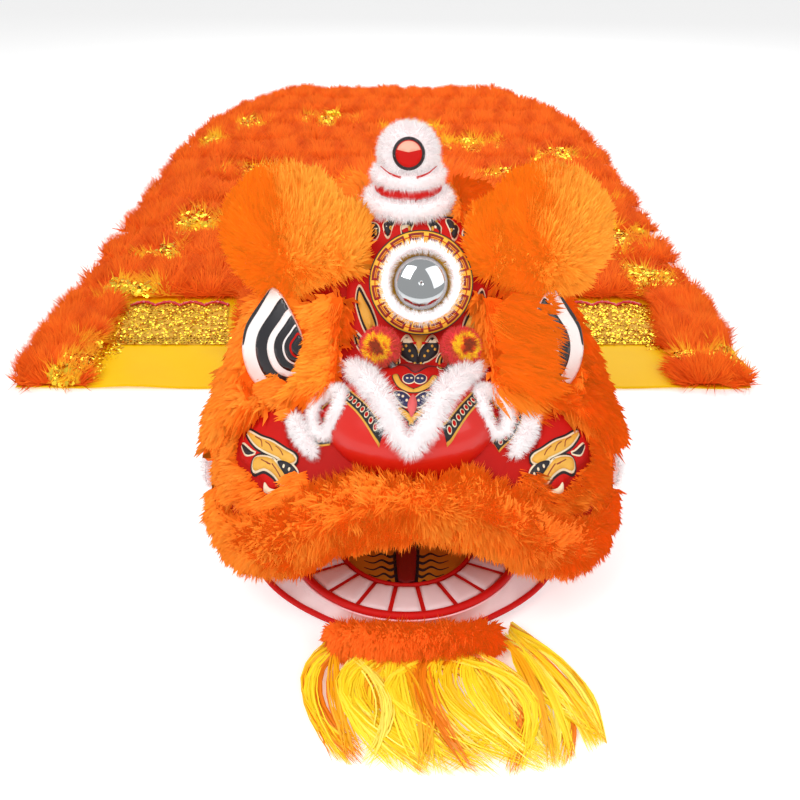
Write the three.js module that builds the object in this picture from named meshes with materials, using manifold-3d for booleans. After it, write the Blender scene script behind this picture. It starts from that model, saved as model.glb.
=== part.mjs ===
// A lion dance head with its lower jaw, beard and fur-covered cape, resting on a flat surface.
// Millimetres, +Z up, the lion faces -Y. The model is drawn with the front of its lip at y = 0
// and its mid-plane at x = 0, and is then moved so that the origin is under the middle of its box.

import * as THREE from "three";
import { mergeVertices } from "three/addons/utils/BufferGeometryUtils.js";
import Module from "manifold-3d";

const wasm = await Module();
wasm.setup();

// Driving dimensions
const gap = 0.3;
const shellWall = 4;
const clothWall = 3;
const panelThick = 1.6;

// The rigid head: half width, crown height and lower rim height at each station behind the lip
const headStations = [
  { at: 4, half: 110, top: 200, rim: 172, square: 3.0 },
  { at: 25, half: 182, top: 236, rim: 162, square: 3.0 },
  { at: 60, half: 232, top: 278, rim: 150, square: 3.0 },
  { at: 110, half: 256, top: 314, rim: 125, square: 3.0 },
  { at: 150, half: 260, top: 336, rim: 105, square: 3.0 },
  { at: 182, half: 252, top: 358, rim: 85, square: 2.9 },
  { at: 212, half: 242, top: 424, rim: 50, square: 2.7 },
  { at: 244, half: 228, top: 492, rim: 0, square: 2.5 },
  { at: 264, half: 220, top: 503, rim: 0, square: 2.4 },
  { at: 340, half: 216, top: 505, rim: 0, square: 2.3 },
  { at: 430, half: 214, top: 494, rim: 0, square: 2.3 },
  { at: 520, half: 212, top: 456, rim: 0, square: 2.3 },
  { at: 620, half: 208, top: 402, rim: 0, square: 2.3 },
];

const nose = { x: -4, y: 105, z: 280, rx: 112, ry: 82, rz: 74 };
const mirror = { x: 10, y: 202, z: 434, glass: 35, fur: 59, rim: 67, tilt: 24 };
const horn = { x: -6, y: 293, ball: 40, ballZ: 574, seat: 559 };
const browX = 5;
const eye = { x: 182, y: 184, z: 358, yaw: 20, pitch: 20, thick: 5, crown: 9 };
const pompom = { x: 9, spread: 51, y: 146, z: 370, r: 25 };
const jaw = { top: 50, hingeY: 250, hingeZ: 36, pin: 4 };
const cape = { x: -50, half: 728, back: 3205, neck: 620.3, archEnd: 1260, archHalf: 206.5, archTop: 400, corner: 760 };
const rowPitch = 215;
const rowCount = 10;

const colours = {
  fur: 0xe05a14,
  brow: 0xf08422,
  white: 0xf4ece6,
  red: 0xc8201a,
  print: 0xb81c14,
  gold: 0xe0aa20,
  glass: 0xb8bcc0,
  teeth: 0xf0dcdc,
  yellow: 0xf0cc20,
  steel: 0xa8a8a8,
  pink: 0xc01860,
};

const head = new THREE.Group();

// Plain helpers
const radians = THREE.MathUtils.degToRad;
const vec = (x, y, z) => new THREE.Vector3(x, y, z);

function power(value, exponent) {
  return Math.sign(value) * Math.pow(Math.abs(value), exponent);
}

function mix(a, b, t) {
  return a + (b - a) * t;
}

// The value of every column of a table of stations at a place between two rows
function between(rows, at) {
  let k = 0;
  while (k < rows.length - 2 && rows[k + 1].at < at) k += 1;
  const t = THREE.MathUtils.clamp((at - rows[k].at) / (rows[k + 1].at - rows[k].at), 0, 1);
  const found = {};
  for (const key of Object.keys(rows[0])) found[key] = mix(rows[k][key], rows[k + 1][key], t);
  return found;
}

// Geometry from shared points and triangles, turned so that its faces point outwards
function closed(points, faces) {
  const a = vec(0, 0, 0);
  let volume = 0;
  for (const [i, j, k] of faces) volume += points[i].dot(a.crossVectors(points[j], points[k]));
  const index = volume < 0 ? faces.map(([i, j, k]) => [i, k, j]) : faces;
  const geometry = new THREE.BufferGeometry();
  geometry.setAttribute("position", new THREE.Float32BufferAttribute(points.flatMap((p) => p.toArray()), 3));
  geometry.setIndex(index.flat());
  return geometry;
}

// The end of a flat ring whose second half runs back beside its first half
function stripEnd(start, count) {
  const faces = [];
  for (let k = 0; k + 1 < count / 2; k += 1) {
    const far = start + count - 1 - k;
    faces.push([start + k, start + k + 1, far - 1], [start + k, far - 1, far]);
  }
  return faces;
}

// A body through rings with the same number of points. Open ends are closed by a fan. In a strip the
// ends close straight across, and the way back is cut into triangles as the way out is.
function loft(rings, endless = false, strip = false) {
  const count = rings[0].length;
  const points = rings.flat().map((p) => p.clone());
  const faces = [];
  const last = endless ? rings.length : rings.length - 1;
  for (let i = 0; i < last; i += 1) {
    const a = i * count;
    const b = ((i + 1) % rings.length) * count;
    for (let k = 0; k < count; k += 1) {
      const n = (k + 1) % count;
      const under = strip && k >= count / 2 - 1;
      if (under) faces.push([a + k, a + n, b + k], [a + n, b + n, b + k]);
      else faces.push([a + k, a + n, b + n], [a + k, b + n, b + k]);
    }
  }
  if (!endless) {
    for (const [ring, start, flip] of [[rings[0], 0, true], [rings.at(-1), (rings.length - 1) * count, false]]) {
      if (strip) {
        faces.push(...stripEnd(start, count).map(([i, j, k]) => (flip ? [i, k, j] : [i, j, k])));
        continue;
      }
      const middle = vec(0, 0, 0);
      for (const p of ring) middle.addScaledVector(p, 1 / count);
      const centre = points.push(middle) - 1;
      for (let k = 0; k < count; k += 1) {
        const pair = [start + k, start + ((k + 1) % count)];
        faces.push(flip ? [centre, pair[1], pair[0]] : [centre, pair[0], pair[1]]);
      }
    }
  }
  return closed(points, faces);
}

// A slab between two grids of points, closed round its border
function slab(upper, lower) {
  const rings = upper.map((row, i) => [...row, ...lower[i].slice().reverse()]);
  return loft(rings, false, upper[0].length === lower[0].length);
}

// manifold-3d joins and cuts
function solid(geometry) {
  const plain = geometry.clone();
  plain.deleteAttribute("normal");
  plain.deleteAttribute("uv");
  const merged = mergeVertices(plain, 1e-4);
  const body = new wasm.Manifold(
    new wasm.Mesh({
      numProp: 3,
      vertProperties: new Float32Array(merged.attributes.position.array),
      triVerts: new Uint32Array(merged.index.array),
    }),
  );
  return body;
}

// The largest piece of a cut body, without slivers
function largest(body) {
  const parts = body.decompose();
  return parts.reduce((best, part) => (part.volume() > best.volume() ? part : best));
}

function geometryOf(body, tolerance = 0.14) {
  const mesh = largest(body).simplify(tolerance).getMesh();
  const geometry = new THREE.BufferGeometry();
  geometry.setAttribute("position", new THREE.Float32BufferAttribute(mesh.vertProperties, 3));
  geometry.setIndex(Array.from(mesh.triVerts));
  return geometry;
}

function add(name, geometry, color, roughness = 0.9, metalness = 0) {
  geometry.computeVertexNormals();
  const mesh = new THREE.Mesh(geometry, new THREE.MeshStandardMaterial({ color, roughness, metalness }));
  mesh.name = name;
  head.add(mesh);
}

// Fur locks: every second point of a ring stands out, and the next ring is staggered
function tuft(i, k, depth) {
  return (i + k) % 2 ? depth : -depth;
}

// An ellipsoid whose surface stands out in locks
function mound(centre, radii, rows, columns, depth) {
  const rings = [];
  for (let i = 1; i < rows; i += 1) {
    const down = (Math.PI * i) / rows;
    const ring = [];
    for (let k = 0; k < columns; k += 1) {
      const round = (2 * Math.PI * k) / columns;
      const out = 1 + tuft(i, k, depth);
      const direction = vec(Math.sin(down) * Math.cos(round), Math.sin(down) * Math.sin(round), Math.cos(down));
      ring.push(direction.multiply(radii).multiplyScalar(out).add(centre));
    }
    rings.push(ring);
  }
  return loft(rings);
}

// A roll of fur along a path, with its radius at each point, its locks staggered
function roll(path, radiusAt, sides, depth, endless = false, up = vec(0, 0, 1)) {
  const rings = path.map((point, i) => {
    const before = path[endless ? (i + path.length - 1) % path.length : Math.max(i - 1, 0)];
    const after = path[endless ? (i + 1) % path.length : Math.min(i + 1, path.length - 1)];
    const along = after.clone().sub(before).normalize();
    const across = along.clone().cross(up).normalize();
    const over = across.clone().cross(along);
    const ring = [];
    for (let k = 0; k < sides; k += 1) {
      const round = (2 * Math.PI * k) / sides;
      const r = radiusAt(i / (path.length - 1)) * (1 + tuft(i, k, depth));
      const p = point.clone().addScaledVector(across, r * Math.cos(round));
      ring.push(p.addScaledVector(over, r * Math.sin(round)));
    }
    return ring;
  });
  return loft(rings, endless);
}

// A closed circle of points in a frame given by its centre and two directions
function circle(centre, right, up, radius, count) {
  return Array.from({ length: count }, (_, k) => {
    const round = (2 * Math.PI * k) / count;
    const p = centre.clone().addScaledVector(right, radius * Math.cos(round));
    return p.addScaledVector(up, radius * Math.sin(round));
  });
}

// A turned body: profile rows of [radius, height] along an axis, closed on the axis
function turned(centre, axis, right, profile, count) {
  const up = axis.clone().cross(right).normalize();
  const rings = profile.map(([r, h]) => circle(centre.clone().addScaledVector(axis, h), right, up, r, count));
  return loft(rings);
}

// An upright prism over a plan outline of [x, y] points
function prism(outline, low, high) {
  return loft([low, high].map((z) => outline.map(([x, y]) => vec(x, y, z))));
}

// The head form, grown or shrunk square to its profile
const headSides = 16;
function headForm(grow, drop = 0, reach = 0) {
  const count = headSides;
  const rings = headStations.map((row, i) => {
    const prev = headStations[Math.max(i - 1, 0)];
    const next = headStations[Math.min(i + 1, headStations.length - 1)];
    const lean = Math.atan2(next.top - prev.top, next.at - prev.at);
    const ends = i === 0 ? -grow : i === headStations.length - 1 ? reach : -grow * Math.sin(lean);
    const ring = [];
    for (let k = 0; k <= count; k += 1) {
      const round = Math.PI * (1 - k / count);
      const x = (row.half + grow) * power(Math.cos(round), 2 / row.square);
      const rise = (row.top + grow * Math.cos(lean) - row.rim) * power(Math.sin(round), 2 / row.square);
      ring.push(vec(x, row.at + ends, row.rim + rise));
    }
    ring[0].z -= drop;
    ring[count].z -= drop;
    return ring;
  });
  return solid(loft(rings));
}

// A point on the head form: across runs from 0 at the left rim to 1 at the right rim
function headPoint(at, across, lift) {
  const row = between(headStations, at);
  const round = Math.PI * (1 - across);
  const x = row.half * power(Math.cos(round), 2 / row.square);
  const z = row.rim + (row.top - row.rim) * power(Math.sin(round), 2 / row.square);
  const outward = vec(Math.cos(round), 0, Math.sin(round));
  return vec(x, row.at, z).addScaledVector(outward, lift);
}

function headHeight(x, y) {
  const row = between(headStations, y);
  const share = Math.min(Math.abs(x) / row.half, 1);
  return row.rim + (row.top - row.rim) * Math.pow(1 - Math.pow(share, row.square), 1 / row.square);
}

function noseHeight(x, y) {
  const share = 1 - ((x - nose.x) / nose.rx) ** 2 - ((y - nose.y) / nose.ry) ** 2;
  return share > 0 ? nose.z + nose.rz * Math.sqrt(share) : 0;
}

function faceHeight(x, y) {
  return Math.max(headHeight(x, y), noseHeight(x, y));
}

function noseForm(grow) {
  const radii = vec(nose.rx + grow, nose.ry + grow, nose.rz + grow);
  return solid(mound(vec(nose.x, nose.y, nose.z), radii, 9, 14, 0));
}

// The rigid head shell, open at the mouth, below and behind
const headOuter = headForm(0);
const headInner = headForm(-shellWall, 40, 30);
const headKeep = headForm(gap, 0, gap);
add("head_shell", geometryOf(headOuter.subtract(headInner)), colours.print, 0.6);

const faceKeep = headKeep.add(noseForm(gap));
const faceSkin = headForm(gap + panelThick).add(noseForm(gap + panelThick));

// The lip: a thick fur roll along the edge of the upper jaw
const lipPath = [
  { x: 0, y: 22, z: 222, r: 52 },
  { x: 55, y: 19, z: 218, r: 52 },
  { x: 105, y: 17, z: 200, r: 53 },
  { x: 165, y: 22, z: 160, r: 52 },
  { x: 212, y: 62, z: 130, r: 52 },
  { x: 243, y: 118, z: 146, r: 48 },
  { x: 246, y: 165, z: 190, r: 40 },
  { x: 236, y: 190, z: 232, r: 26 },
];
const lipHalf = lipPath.slice(1);
const lipRows = [...lipHalf.map((p) => ({ ...p, x: -p.x })).reverse(), ...lipPath];
const lipCurve = new THREE.CatmullRomCurve3(lipRows.map((p) => vec(p.x, p.y, p.z)));
const lipSteps = 20;

function lipRadius(t) {
  const place = t * (lipRows.length - 1);
  const k = Math.min(Math.floor(place), lipRows.length - 2);
  return mix(lipRows[k].r, lipRows[k + 1].r, place - k);
}

function lipForm(grow) {
  const path = Array.from({ length: lipSteps + 1 }, (_, i) => lipCurve.getPoint(i / lipSteps));
  return solid(roll(path, (t) => lipRadius(t) + grow, 8, 0.045, false, vec(0, -0.4, 1).normalize()));
}

const lipKeep = lipForm(gap);
add("lip_fur", geometryOf(lipForm(0).subtract(headKeep).subtract(noseForm(gap))), colours.fur);

const noseBody = noseForm(0).subtract(headKeep).subtract(lipKeep);
add("nose_body", geometryOf(noseBody), colours.red, 0.25);

// Printed panels lie on the head and nose as a thin skin
function skinPiece(outline, ...cutters) {
  let body = solid(prism(outline, 100, 560)).intersect(faceSkin).subtract(faceKeep);
  for (const cutter of cutters) body = body.subtract(cutter);
  return geometryOf(body);
}

const foreheadOutline = [[-62, 152], [62, 152], [92, 176], [90, 232], [64, 262], [62, 345], [-66, 345], [-68, 262], [-84, 232], [-86, 176]];
const bridgeOutline = [[-44, 92], [-4, 40], [36, 92], [58, 151], [-58, 151]];
add("forehead_panel", skinPiece(foreheadOutline), colours.print, 0.5);
add("nose_bridge_panel", skinPiece(bridgeOutline), colours.print, 0.5);

// White fur in a V over the nose, and the fur curls and strips beside it
function surfaceRoll(plan, radius, steps, sides, depth, sink, endless = false) {
  const curve = new THREE.CatmullRomCurve3(plan.map(([x, y]) => vec(x, y, faceHeight(x, y) + radius - sink)), endless);
  const count = endless ? steps : steps + 1;
  const path = Array.from({ length: count }, (_, i) => curve.getPoint(i / steps));
  const taper = (t) => (endless ? radius : radius * Math.pow(Math.sin(Math.PI * mix(0.12, 0.88, t)), 0.5));
  return solid(roll(path, taper, sides, depth, endless));
}

const panelKeep = headForm(2 * gap + panelThick).add(noseForm(2 * gap + panelThick));
const veePlan = [[-80, 146], [-60, 104], [-38, 58], [-5, 24], [30, 58], [56, 104], [82, 148]];
const vee = surfaceRoll(veePlan, 13, 12, 5, 0.09, 5).subtract(panelKeep).subtract(lipKeep);
add("nose_fur_v", geometryOf(vee), colours.white);

const curlKeeps = {};
const cheekFlame = [[152, 52], [176, 40], [206, 66], [226, 100], [206, 132], [184, 118], [164, 122], [160, 88]];
const veeKeep = surfaceRoll(veePlan, 13 + gap, 12, 5, 0.09, 5 + gap);
for (const [side, name] of [[-1, "left"], [1, "right"]]) {
  const mid = nose.x + side * 104;
  const curl = Array.from({ length: 8 }, (_, k) => {
    const round = (Math.PI * k) / 4;
    return [mid + 20 * Math.cos(round), 94 + 24 * Math.sin(round)];
  });
  const curlBody = surfaceRoll(curl, 9, 8, 5, 0.1, 4, true).subtract(faceKeep).subtract(veeKeep);
  add(`nostril_fur_${name}`, geometryOf(curlBody), colours.white);

  const strip = [[side * 152, 100], [side * 140, 76], [side * 122, 54]];
  const stripBody = surfaceRoll(strip, 9, 6, 5, 0.1, 4).subtract(faceKeep).subtract(lipKeep);
  const curlKeep = surfaceRoll(curl, 9 + gap, 8, 5, 0.1, 4 + gap, true);
  curlKeeps[name] = curlKeep;
  add(`cheek_fur_strip_${name}`, geometryOf(stripBody.subtract(curlKeep)), colours.white);

  const cheekOutline = cheekFlame.map(([x, y]) => [side * x, y]);
  const stripKeep = surfaceRoll(strip, 9 + gap, 6, 5, 0.1, 4 + gap);
  add(`cheek_panel_${name}`, skinPiece(cheekOutline, lipKeep, stripKeep, curlKeep), colours.print, 0.5);
}

// The forehead mirror, facing up and forward
const tilt = radians(mirror.tilt);
const facing = vec(0, -Math.cos(tilt), Math.sin(tilt));
const mirrorUp = vec(0, Math.sin(tilt), Math.cos(tilt));
const right = vec(1, 0, 0);
const mirrorAt = vec(mirror.x, mirror.y, mirror.z);
const mirrorDisc = [[mirror.glass, -3], [mirror.glass, 1], [mirror.glass * 0.86, 5], [mirror.glass * 0.5, 9], [2, 10.5]];
add("mirror_disc", turned(mirrorAt, facing, right, mirrorDisc, 14), colours.glass, 0.1, 0.9);

const furMid = (mirror.glass + mirror.fur) / 2 + 1;
const furThick = (mirror.fur - mirror.glass) / 2;
const ringPath = circle(mirrorAt.clone().addScaledVector(facing, 0.4), right, mirrorUp, furMid, 16);
add("mirror_fur_ring", roll(ringPath, () => furThick - 2.2, 6, 0.07, true, facing), colours.white);

const rimProfile = [[mirror.rim, -8], [mirror.rim, 1], [mirror.fur + 1, 4], [mirror.fur + 1, -8]];
function ringBody(centre, axis, across, profile, count) {
  const up = axis.clone().cross(across).normalize();
  const rings = [];
  for (let i = 0; i < count; i += 1) {
    const round = (2 * Math.PI * i) / count;
    const out = across.clone().multiplyScalar(Math.cos(round)).addScaledVector(up, Math.sin(round));
    rings.push(profile.map(([r, h]) => centre.clone().addScaledVector(out, r).addScaledVector(axis, h)));
  }
  return loft(rings, true);
}
const backPlate = turned(mirrorAt, facing, right, [[mirror.rim, -14], [mirror.rim, -9]], 18);
const rimBody = solid(ringBody(mirrorAt, facing, right, rimProfile, 18)).add(solid(backPlate));
const post = turned(mirrorAt, facing, right, [[mirror.glass - 6, -34], [mirror.glass - 6, -3.3]], 8);
add("mirror_rim", geometryOf(rimBody.add(solid(post)).subtract(panelKeep)), colours.gold, 0.4);

// The horn: fur collar, red band, fur tier and a fur ball with a printed oval
const hornAt = vec(horn.x, horn.y, 0);
const upward = vec(0, 0, 1);
const lathe = (profile, count) => turned(hornAt, upward, right, profile, count);
add("horn_core", geometryOf(solid(lathe([[34, 494], [21, horn.seat]], 10)).subtract(panelKeep)), colours.red);
const fatRing = (r, thick, z, count, sides) =>
  roll(circle(hornAt.clone().setZ(z), right, vec(0, 1, 0), r, count), () => thick, sides, 0.07, true);
add("horn_collar_fur", geometryOf(solid(fatRing(48, 13, 514, 14, 6)).subtract(panelKeep)), colours.white);
add("horn_band", ringBody(hornAt, upward, right, [[44, 526.4], [44, 538], [28.6, 538], [28.6, 526.4]], 14), colours.red, 0.6);
add("horn_tier_fur", fatRing(37.5, 11, 548.5, 14, 6), colours.white);
const ballAt = vec(horn.x, horn.y, horn.ballZ);
const ballForm = (grow) => solid(mound(ballAt, vec(1, 1, 1).multiplyScalar(horn.ball + grow), 8, 12, 0.05));
const ballFacing = vec(0, -0.96, 0.28);
const ovalAt = ballAt.clone().addScaledVector(ballFacing, horn.ball - 5);
const oval = turned(ovalAt, ballFacing, right, [[21, -6], [21, -1], [12, 3]], 14);
const ovalKeep = turned(ovalAt, ballFacing, right, [[21 + gap, -6 - gap], [24, 30]], 14);
const ballSeat = lathe([[60, 500], [60, horn.seat + gap]], 12);
add("horn_cap_fur", geometryOf(ballForm(0).subtract(solid(ballSeat)).subtract(solid(ovalKeep))), colours.white);
add("horn_inset", oval, colours.red, 0.4);

// Brows: a round fur mound over each eye that narrows towards the horn
function browForm(side, grow, rows = 8, depth = 0.04) {
  const big = mound(vec(browX + side * 168, 252, 484), vec(84 + grow, 84 + grow, 84 + grow), rows, rows + 4, depth);
  const small = mound(vec(browX + side * 102, 248, 468), vec(52 + grow, 60 + grow, 54 + grow), rows - 2, rows, depth);
  return solid(big).add(solid(small));
}

// Eyes: a leaf-shaped crowned panel under each brow
const leaf = [[6, 72], [24, 44], [42, 8], [42, -24], [26, -54], [0, -66], [-28, -58], [-46, -28], [-44, 8], [-20, 48]];

function eyeFrame(side) {
  const turn = new THREE.Euler(radians(-eye.pitch), 0, radians(side * eye.yaw), "ZXY");
  return new THREE.Matrix4().makeRotationFromEuler(turn).setPosition(side * eye.x, eye.y, eye.z);
}

function eyeRing(side, scale, out) {
  const frame = eyeFrame(side);
  return leaf.map(([u, w]) => vec(side * u * scale, -out, w * scale).applyMatrix4(frame));
}

function eyePanel(side) {
  const { thick, crown } = eye;
  return loft([eyeRing(side, 1, 0), eyeRing(side, 1, thick), eyeRing(side, 0.7, crown), eyeRing(side, 0.3, crown + 3)]);
}

function eyeClear(side) {
  return solid(loft([eyeRing(side, 1.01, -gap), eyeRing(side, 1.2, 90)]));
}

function cornerForm(side, grow) {
  return solid(mound(vec(side * 276, 168, 166), vec(20 + grow, 30 + grow, 30 + grow), 6, 8, 0.06));
}

function cheekClear(side) {
  const outline = cheekFlame.map(([x, y]) => [side * x, y]);
  return solid(prism(outline, 100, 560)).intersect(headForm(2 * gap + panelThick));
}

// A fur pad on the head: the places are stations from front to back, and the columns its sides
function padForm(places, columns, depthAt) {
  const [upper, lower] = [true, false].map((outer) =>
    places.map((at, i) =>
      columns.map((column, k) => {
        const depth = depthAt(i / (places.length - 1), k / (columns.length - 1)) * (1 + tuft(i, k, 0.1));
        return headPoint(at, column / headSides, outer ? depth : -3);
      }),
    ),
  );
  return solid(slab(upper, lower)).subtract(headKeep);
}

// Side fur, from the lip to behind the brow
const collarKeep = solid(lathe([[62, 480], [62, 600]], 14));
const swell = (t, edge) => mix(edge, 1, Math.pow(Math.sin(Math.PI * t), 0.6));
const padDepth = (t, k) => 46 * swell(mix(0.1, 0.9, t), 0.35) * swell(mix(0.14, 0.95, k), 0.3);
for (const [side, name] of [[-1, "left"], [1, "right"]]) {
  const columns = [1, 2, 3, 4, 5, 6, 7].map((k) => (side < 0 ? k : headSides - k));
  const pad = padForm([110, 150, 182, 212, 244, 264, 340, 430], columns, padDepth);
  const brow = browForm(side, 0).subtract(panelKeep);
  const mirrorKeep = solid(turned(mirrorAt, facing, right, [[mirror.rim + 1.6, -60], [mirror.rim + 1.6, 60]], 18));
  add(`brow_${name}`, geometryOf(brow.subtract(mirrorKeep)), colours.brow);
  let fur = pad.subtract(lipKeep).subtract(browForm(side, 16, 6, 0)).subtract(eyeClear(side));
  fur = fur.subtract(panelKeep.intersect(solid(prism(foreheadOutline, 100, 560))));
  fur = fur.subtract(noseForm(gap)).subtract(mirrorKeep).subtract(collarKeep);
  fur = fur.subtract(curlKeeps[name]).subtract(cornerForm(side, gap)).subtract(cheekClear(side));
  add(`face_fur_${name}`, geometryOf(fur), colours.fur);
  const eyeBody = solid(eyePanel(side)).subtract(headKeep).subtract(browForm(side, gap));
  add(`eye_${name}`, geometryOf(eyeBody), colours.teeth, 0.3);
}

// Fur round the back rim of the head
const maneDepth = (t) => 42 * swell(mix(0.1, 0.9, t), 0.3);
const maneColumns = Array.from({ length: headSides - 1 }, (_, k) => k + 1);
add("mane_fur", geometryOf(padForm([452, 520, 570, 612], maneColumns, maneDepth)), colours.fur);

// Pompoms on short coil springs beside the bridge of the nose
for (const [side, name] of [[-1, "left"], [1, "right"]]) {
  const ball = vec(pompom.x + side * pompom.spread, pompom.y, pompom.z);
  const foot = vec(pompom.x + side * 34, 128, faceHeight(pompom.x + side * 34, 128) + panelThick + 2 * gap);
  const axis = ball.clone().sub(foot).normalize();
  const across = axis.clone().cross(vec(0, 1, 0)).normalize();
  const length = ball.distanceTo(foot) - pompom.r + 4;
  const coils = Array.from({ length: 7 }, (_, k) => [k % 2 ? 5.5 : 4.2, -4 + ((length + 4) * k) / 6]);
  const spring = solid(turned(foot, axis, across, coils, 7)).subtract(panelKeep);
  add(`pompom_spring_${name}`, geometryOf(spring), colours.steel, 0.3, 0.9);
  const socket = turned(foot, axis, across, [[6, -4], [6, length + gap]], 8);
  const pompomForm = solid(mound(ball, vec(1, 1, 1).multiplyScalar(pompom.r), 7, 8, 0.08));
  const pompomBody = pompomForm.subtract(solid(socket)).subtract(panelKeep).subtract(veeKeep);
  add(`pompom_${name}`, geometryOf(pompomBody), colours.pink);
}

// Fur tufts behind the corners of the mouth
for (const [side, name] of [[-1, "left"], [1, "right"]]) {
  add(`mouth_corner_${name}`, geometryOf(cornerForm(side, 0).subtract(lipKeep).subtract(headKeep)), colours.white);
}

// The lower jaw: a hollow tray with flared sides, open below, that swings on two pins
const trayFront = { x: -8, y: 160, r: 166 };
const throat = { x: -8, y: 152, r: 96 };

function trayOutline(inset, flare, back) {
  const steps = 14;
  const points = [];
  for (let k = 0; k <= steps; k += 1) {
    const round = Math.PI * (1 + k / steps);
    const side = Math.abs(Math.cos(round));
    const out = trayFront.r - inset + flare * (0.1 + 0.9 * side * side);
    points.push([trayFront.x + out * Math.cos(round), trayFront.y + (trayFront.r - inset + 0.1 * flare) * Math.sin(round)]);
  }
  const half = trayFront.r - inset + flare * 0.55;
  points.push([trayFront.x + half, back - inset], [trayFront.x - half, back - inset]);
  return points;
}

function trayForm(inset, top, bottom, flare) {
  const levels = [[bottom, flare], [top, 0]];
  return solid(loft(levels.map(([z, out]) => trayOutline(inset, out, 262).map(([x, y]) => vec(x, y, z)))));
}

const trayBottom = 18;
const trayWall = 8;
const dishFloor = jaw.top - 6;
const dish = solid(turned(vec(throat.x, throat.y, 0), upward, right, [[throat.r, dishFloor], [throat.r, jaw.top + 9]], 24));
const trayFlare = 54;
const trayHollow = trayForm(trayWall, dishFloor - trayWall, trayBottom - 6, trayFlare);
const tray = trayForm(0, jaw.top, trayBottom, trayFlare).subtract(trayHollow).subtract(dish);
add("jaw_tray", geometryOf(tray), colours.teeth, 0.7);

// Teeth: a curved band of padded blocks with a groove between each pair
const teeth = { count: 9, spread: 150, low: 1.6, high: 5, groove: 0.09 };
const teethRings = [];
for (let k = 0; k < teeth.count; k += 1) {
  for (const [place, rise] of [[0, teeth.low], [teeth.groove, teeth.high], [1 - teeth.groove, teeth.high]]) {
    teethRings.push([(k + place) / teeth.count, rise]);
  }
}
teethRings.push([1, teeth.low]);
const toothLoft = teethRings.map(([share, rise]) => {
  const round = radians(-90 + teeth.spread * (share - 0.5));
  const inner = vec(throat.x + (throat.r + 5) * Math.cos(round), throat.y + (throat.r + 5) * Math.sin(round), 0);
  const outer = vec(trayFront.x + (trayFront.r - 7.5) * Math.cos(round), trayFront.y + (trayFront.r - 7.5) * Math.sin(round), 0);
  const low = jaw.top + gap;
  return [inner.clone().setZ(low), outer.clone().setZ(low), outer.clone().setZ(low + rise), inner.clone().setZ(low + rise)];
});
add("teeth_row", loft(toothLoft), colours.teeth, 0.6);

const tongue = [[-13, 76], [-8, 66], [0, 62], [8, 66], [13, 76], [16, 150], [12, 200], [-12, 200], [-16, 150]];
const tonguePlan = tongue.map(([x, y]) => [x + throat.x, y]);
add("tongue", prism(tonguePlan, dishFloor + gap, dishFloor + 5), colours.red, 0.6);

const rimPath = Array.from({ length: 15 }, (_, k) => {
  const round = radians(-90 + 176 * (k / 14 - 0.5));
  const reach = trayFront.r - 1;
  return vec(trayFront.x + reach * Math.cos(round), trayFront.y + reach * Math.sin(round), jaw.top + gap + 4.4);
});
add("jaw_rim", roll(rimPath, () => 4.4, 6, 0), colours.red, 0.5);
const trayKeep = trayForm(-gap, jaw.top + gap, trayBottom - gap, trayFlare);

for (const [side, name] of [[-1, "left"], [1, "right"]]) {
  const from = vec(trayFront.x + side * (trayFront.r + 2), jaw.hingeY, jaw.hingeZ);
  const wall = between(headStations, jaw.hingeY).half - shellWall - 2.4;
  const pin = turned(from, vec(side, 0, 0), vec(0, 1, 0), [[jaw.pin, 0], [jaw.pin, wall - side * from.x]], 10);
  add(`jaw_pin_${name}`, geometryOf(solid(pin).subtract(trayKeep)), colours.steel, 0.4, 0.8);
}

// Chin fur along the front of the tray, and the beard that lies in front of it
const chin = { half: 112, y: -31, z: 27, r: 25 };
function chinForm(grow) {
  const path = Array.from({ length: 13 }, (_, k) => {
    const share = k / 6 - 1;
    return vec(share * chin.half, chin.y + 16 * share * share, chin.z - 3 * share * share);
  });
  return solid(roll(path, (t) => (chin.r + grow) * Math.pow(Math.sin(Math.PI * mix(0.17, 0.83, t)), 0.45), 8, 0.05));
}
add("chin_fur", geometryOf(chinForm(0).subtract(trayKeep)), colours.fur);

// Beard strands: rows across from left to right, each strand a ridge with its own tip
const strands = 18;
const beardRoot = new THREE.CatmullRomCurve3([vec(-112, -34, 16), vec(0, -52, 20), vec(114, -26, 20), vec(148, 24, 10)]);
const beardMiddle = new THREE.CatmullRomCurve3([vec(-138, -88, 9), vec(-20, -112, 14), vec(130, -96, 15), vec(207, -66, 8)]);
const beardTip = new THREE.CatmullRomCurve3([vec(-102, -176, 3), vec(20, -194, 4), vec(150, -190, 4), vec(230, -150, 3)]);
const beardUpper = [];
const beardLower = [];
for (let k = 0; k <= strands; k += 1) {
  const share = k / strands;
  const ridge = k % 2 ? 1 : 0.72;
  const root = beardRoot.getPoint(share);
  const middle = beardMiddle.getPoint(share);
  const tip = beardTip.getPoint(share);
  tip.y -= k % 2 ? 9 : 0;
  const line = new THREE.CatmullRomCurve3([root, middle, tip]);
  const upper = [0, 0.3, 0.62, 1].map((t) => line.getPoint(t));
  beardUpper.push(upper.map((p, i) => p.clone().setZ(i < 3 ? p.z * ridge : 1.5)));
  beardLower.push([upper[0], upper[3]].map((p) => p.clone().setZ(0)));
}
add("beard", geometryOf(solid(slab(beardUpper, beardLower)).subtract(chinForm(gap))), colours.yellow, 0.4);

// The cape: cloth that covers the back rim of the head as an arch and then lies flat
function archHeight(y) {
  const share = THREE.MathUtils.clamp((y - cape.neck) / (cape.archEnd - cape.neck), 0, 1);
  return cape.archTop * Math.pow(0.5 * (1 + Math.cos(Math.PI * share)), 1.2);
}

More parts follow.
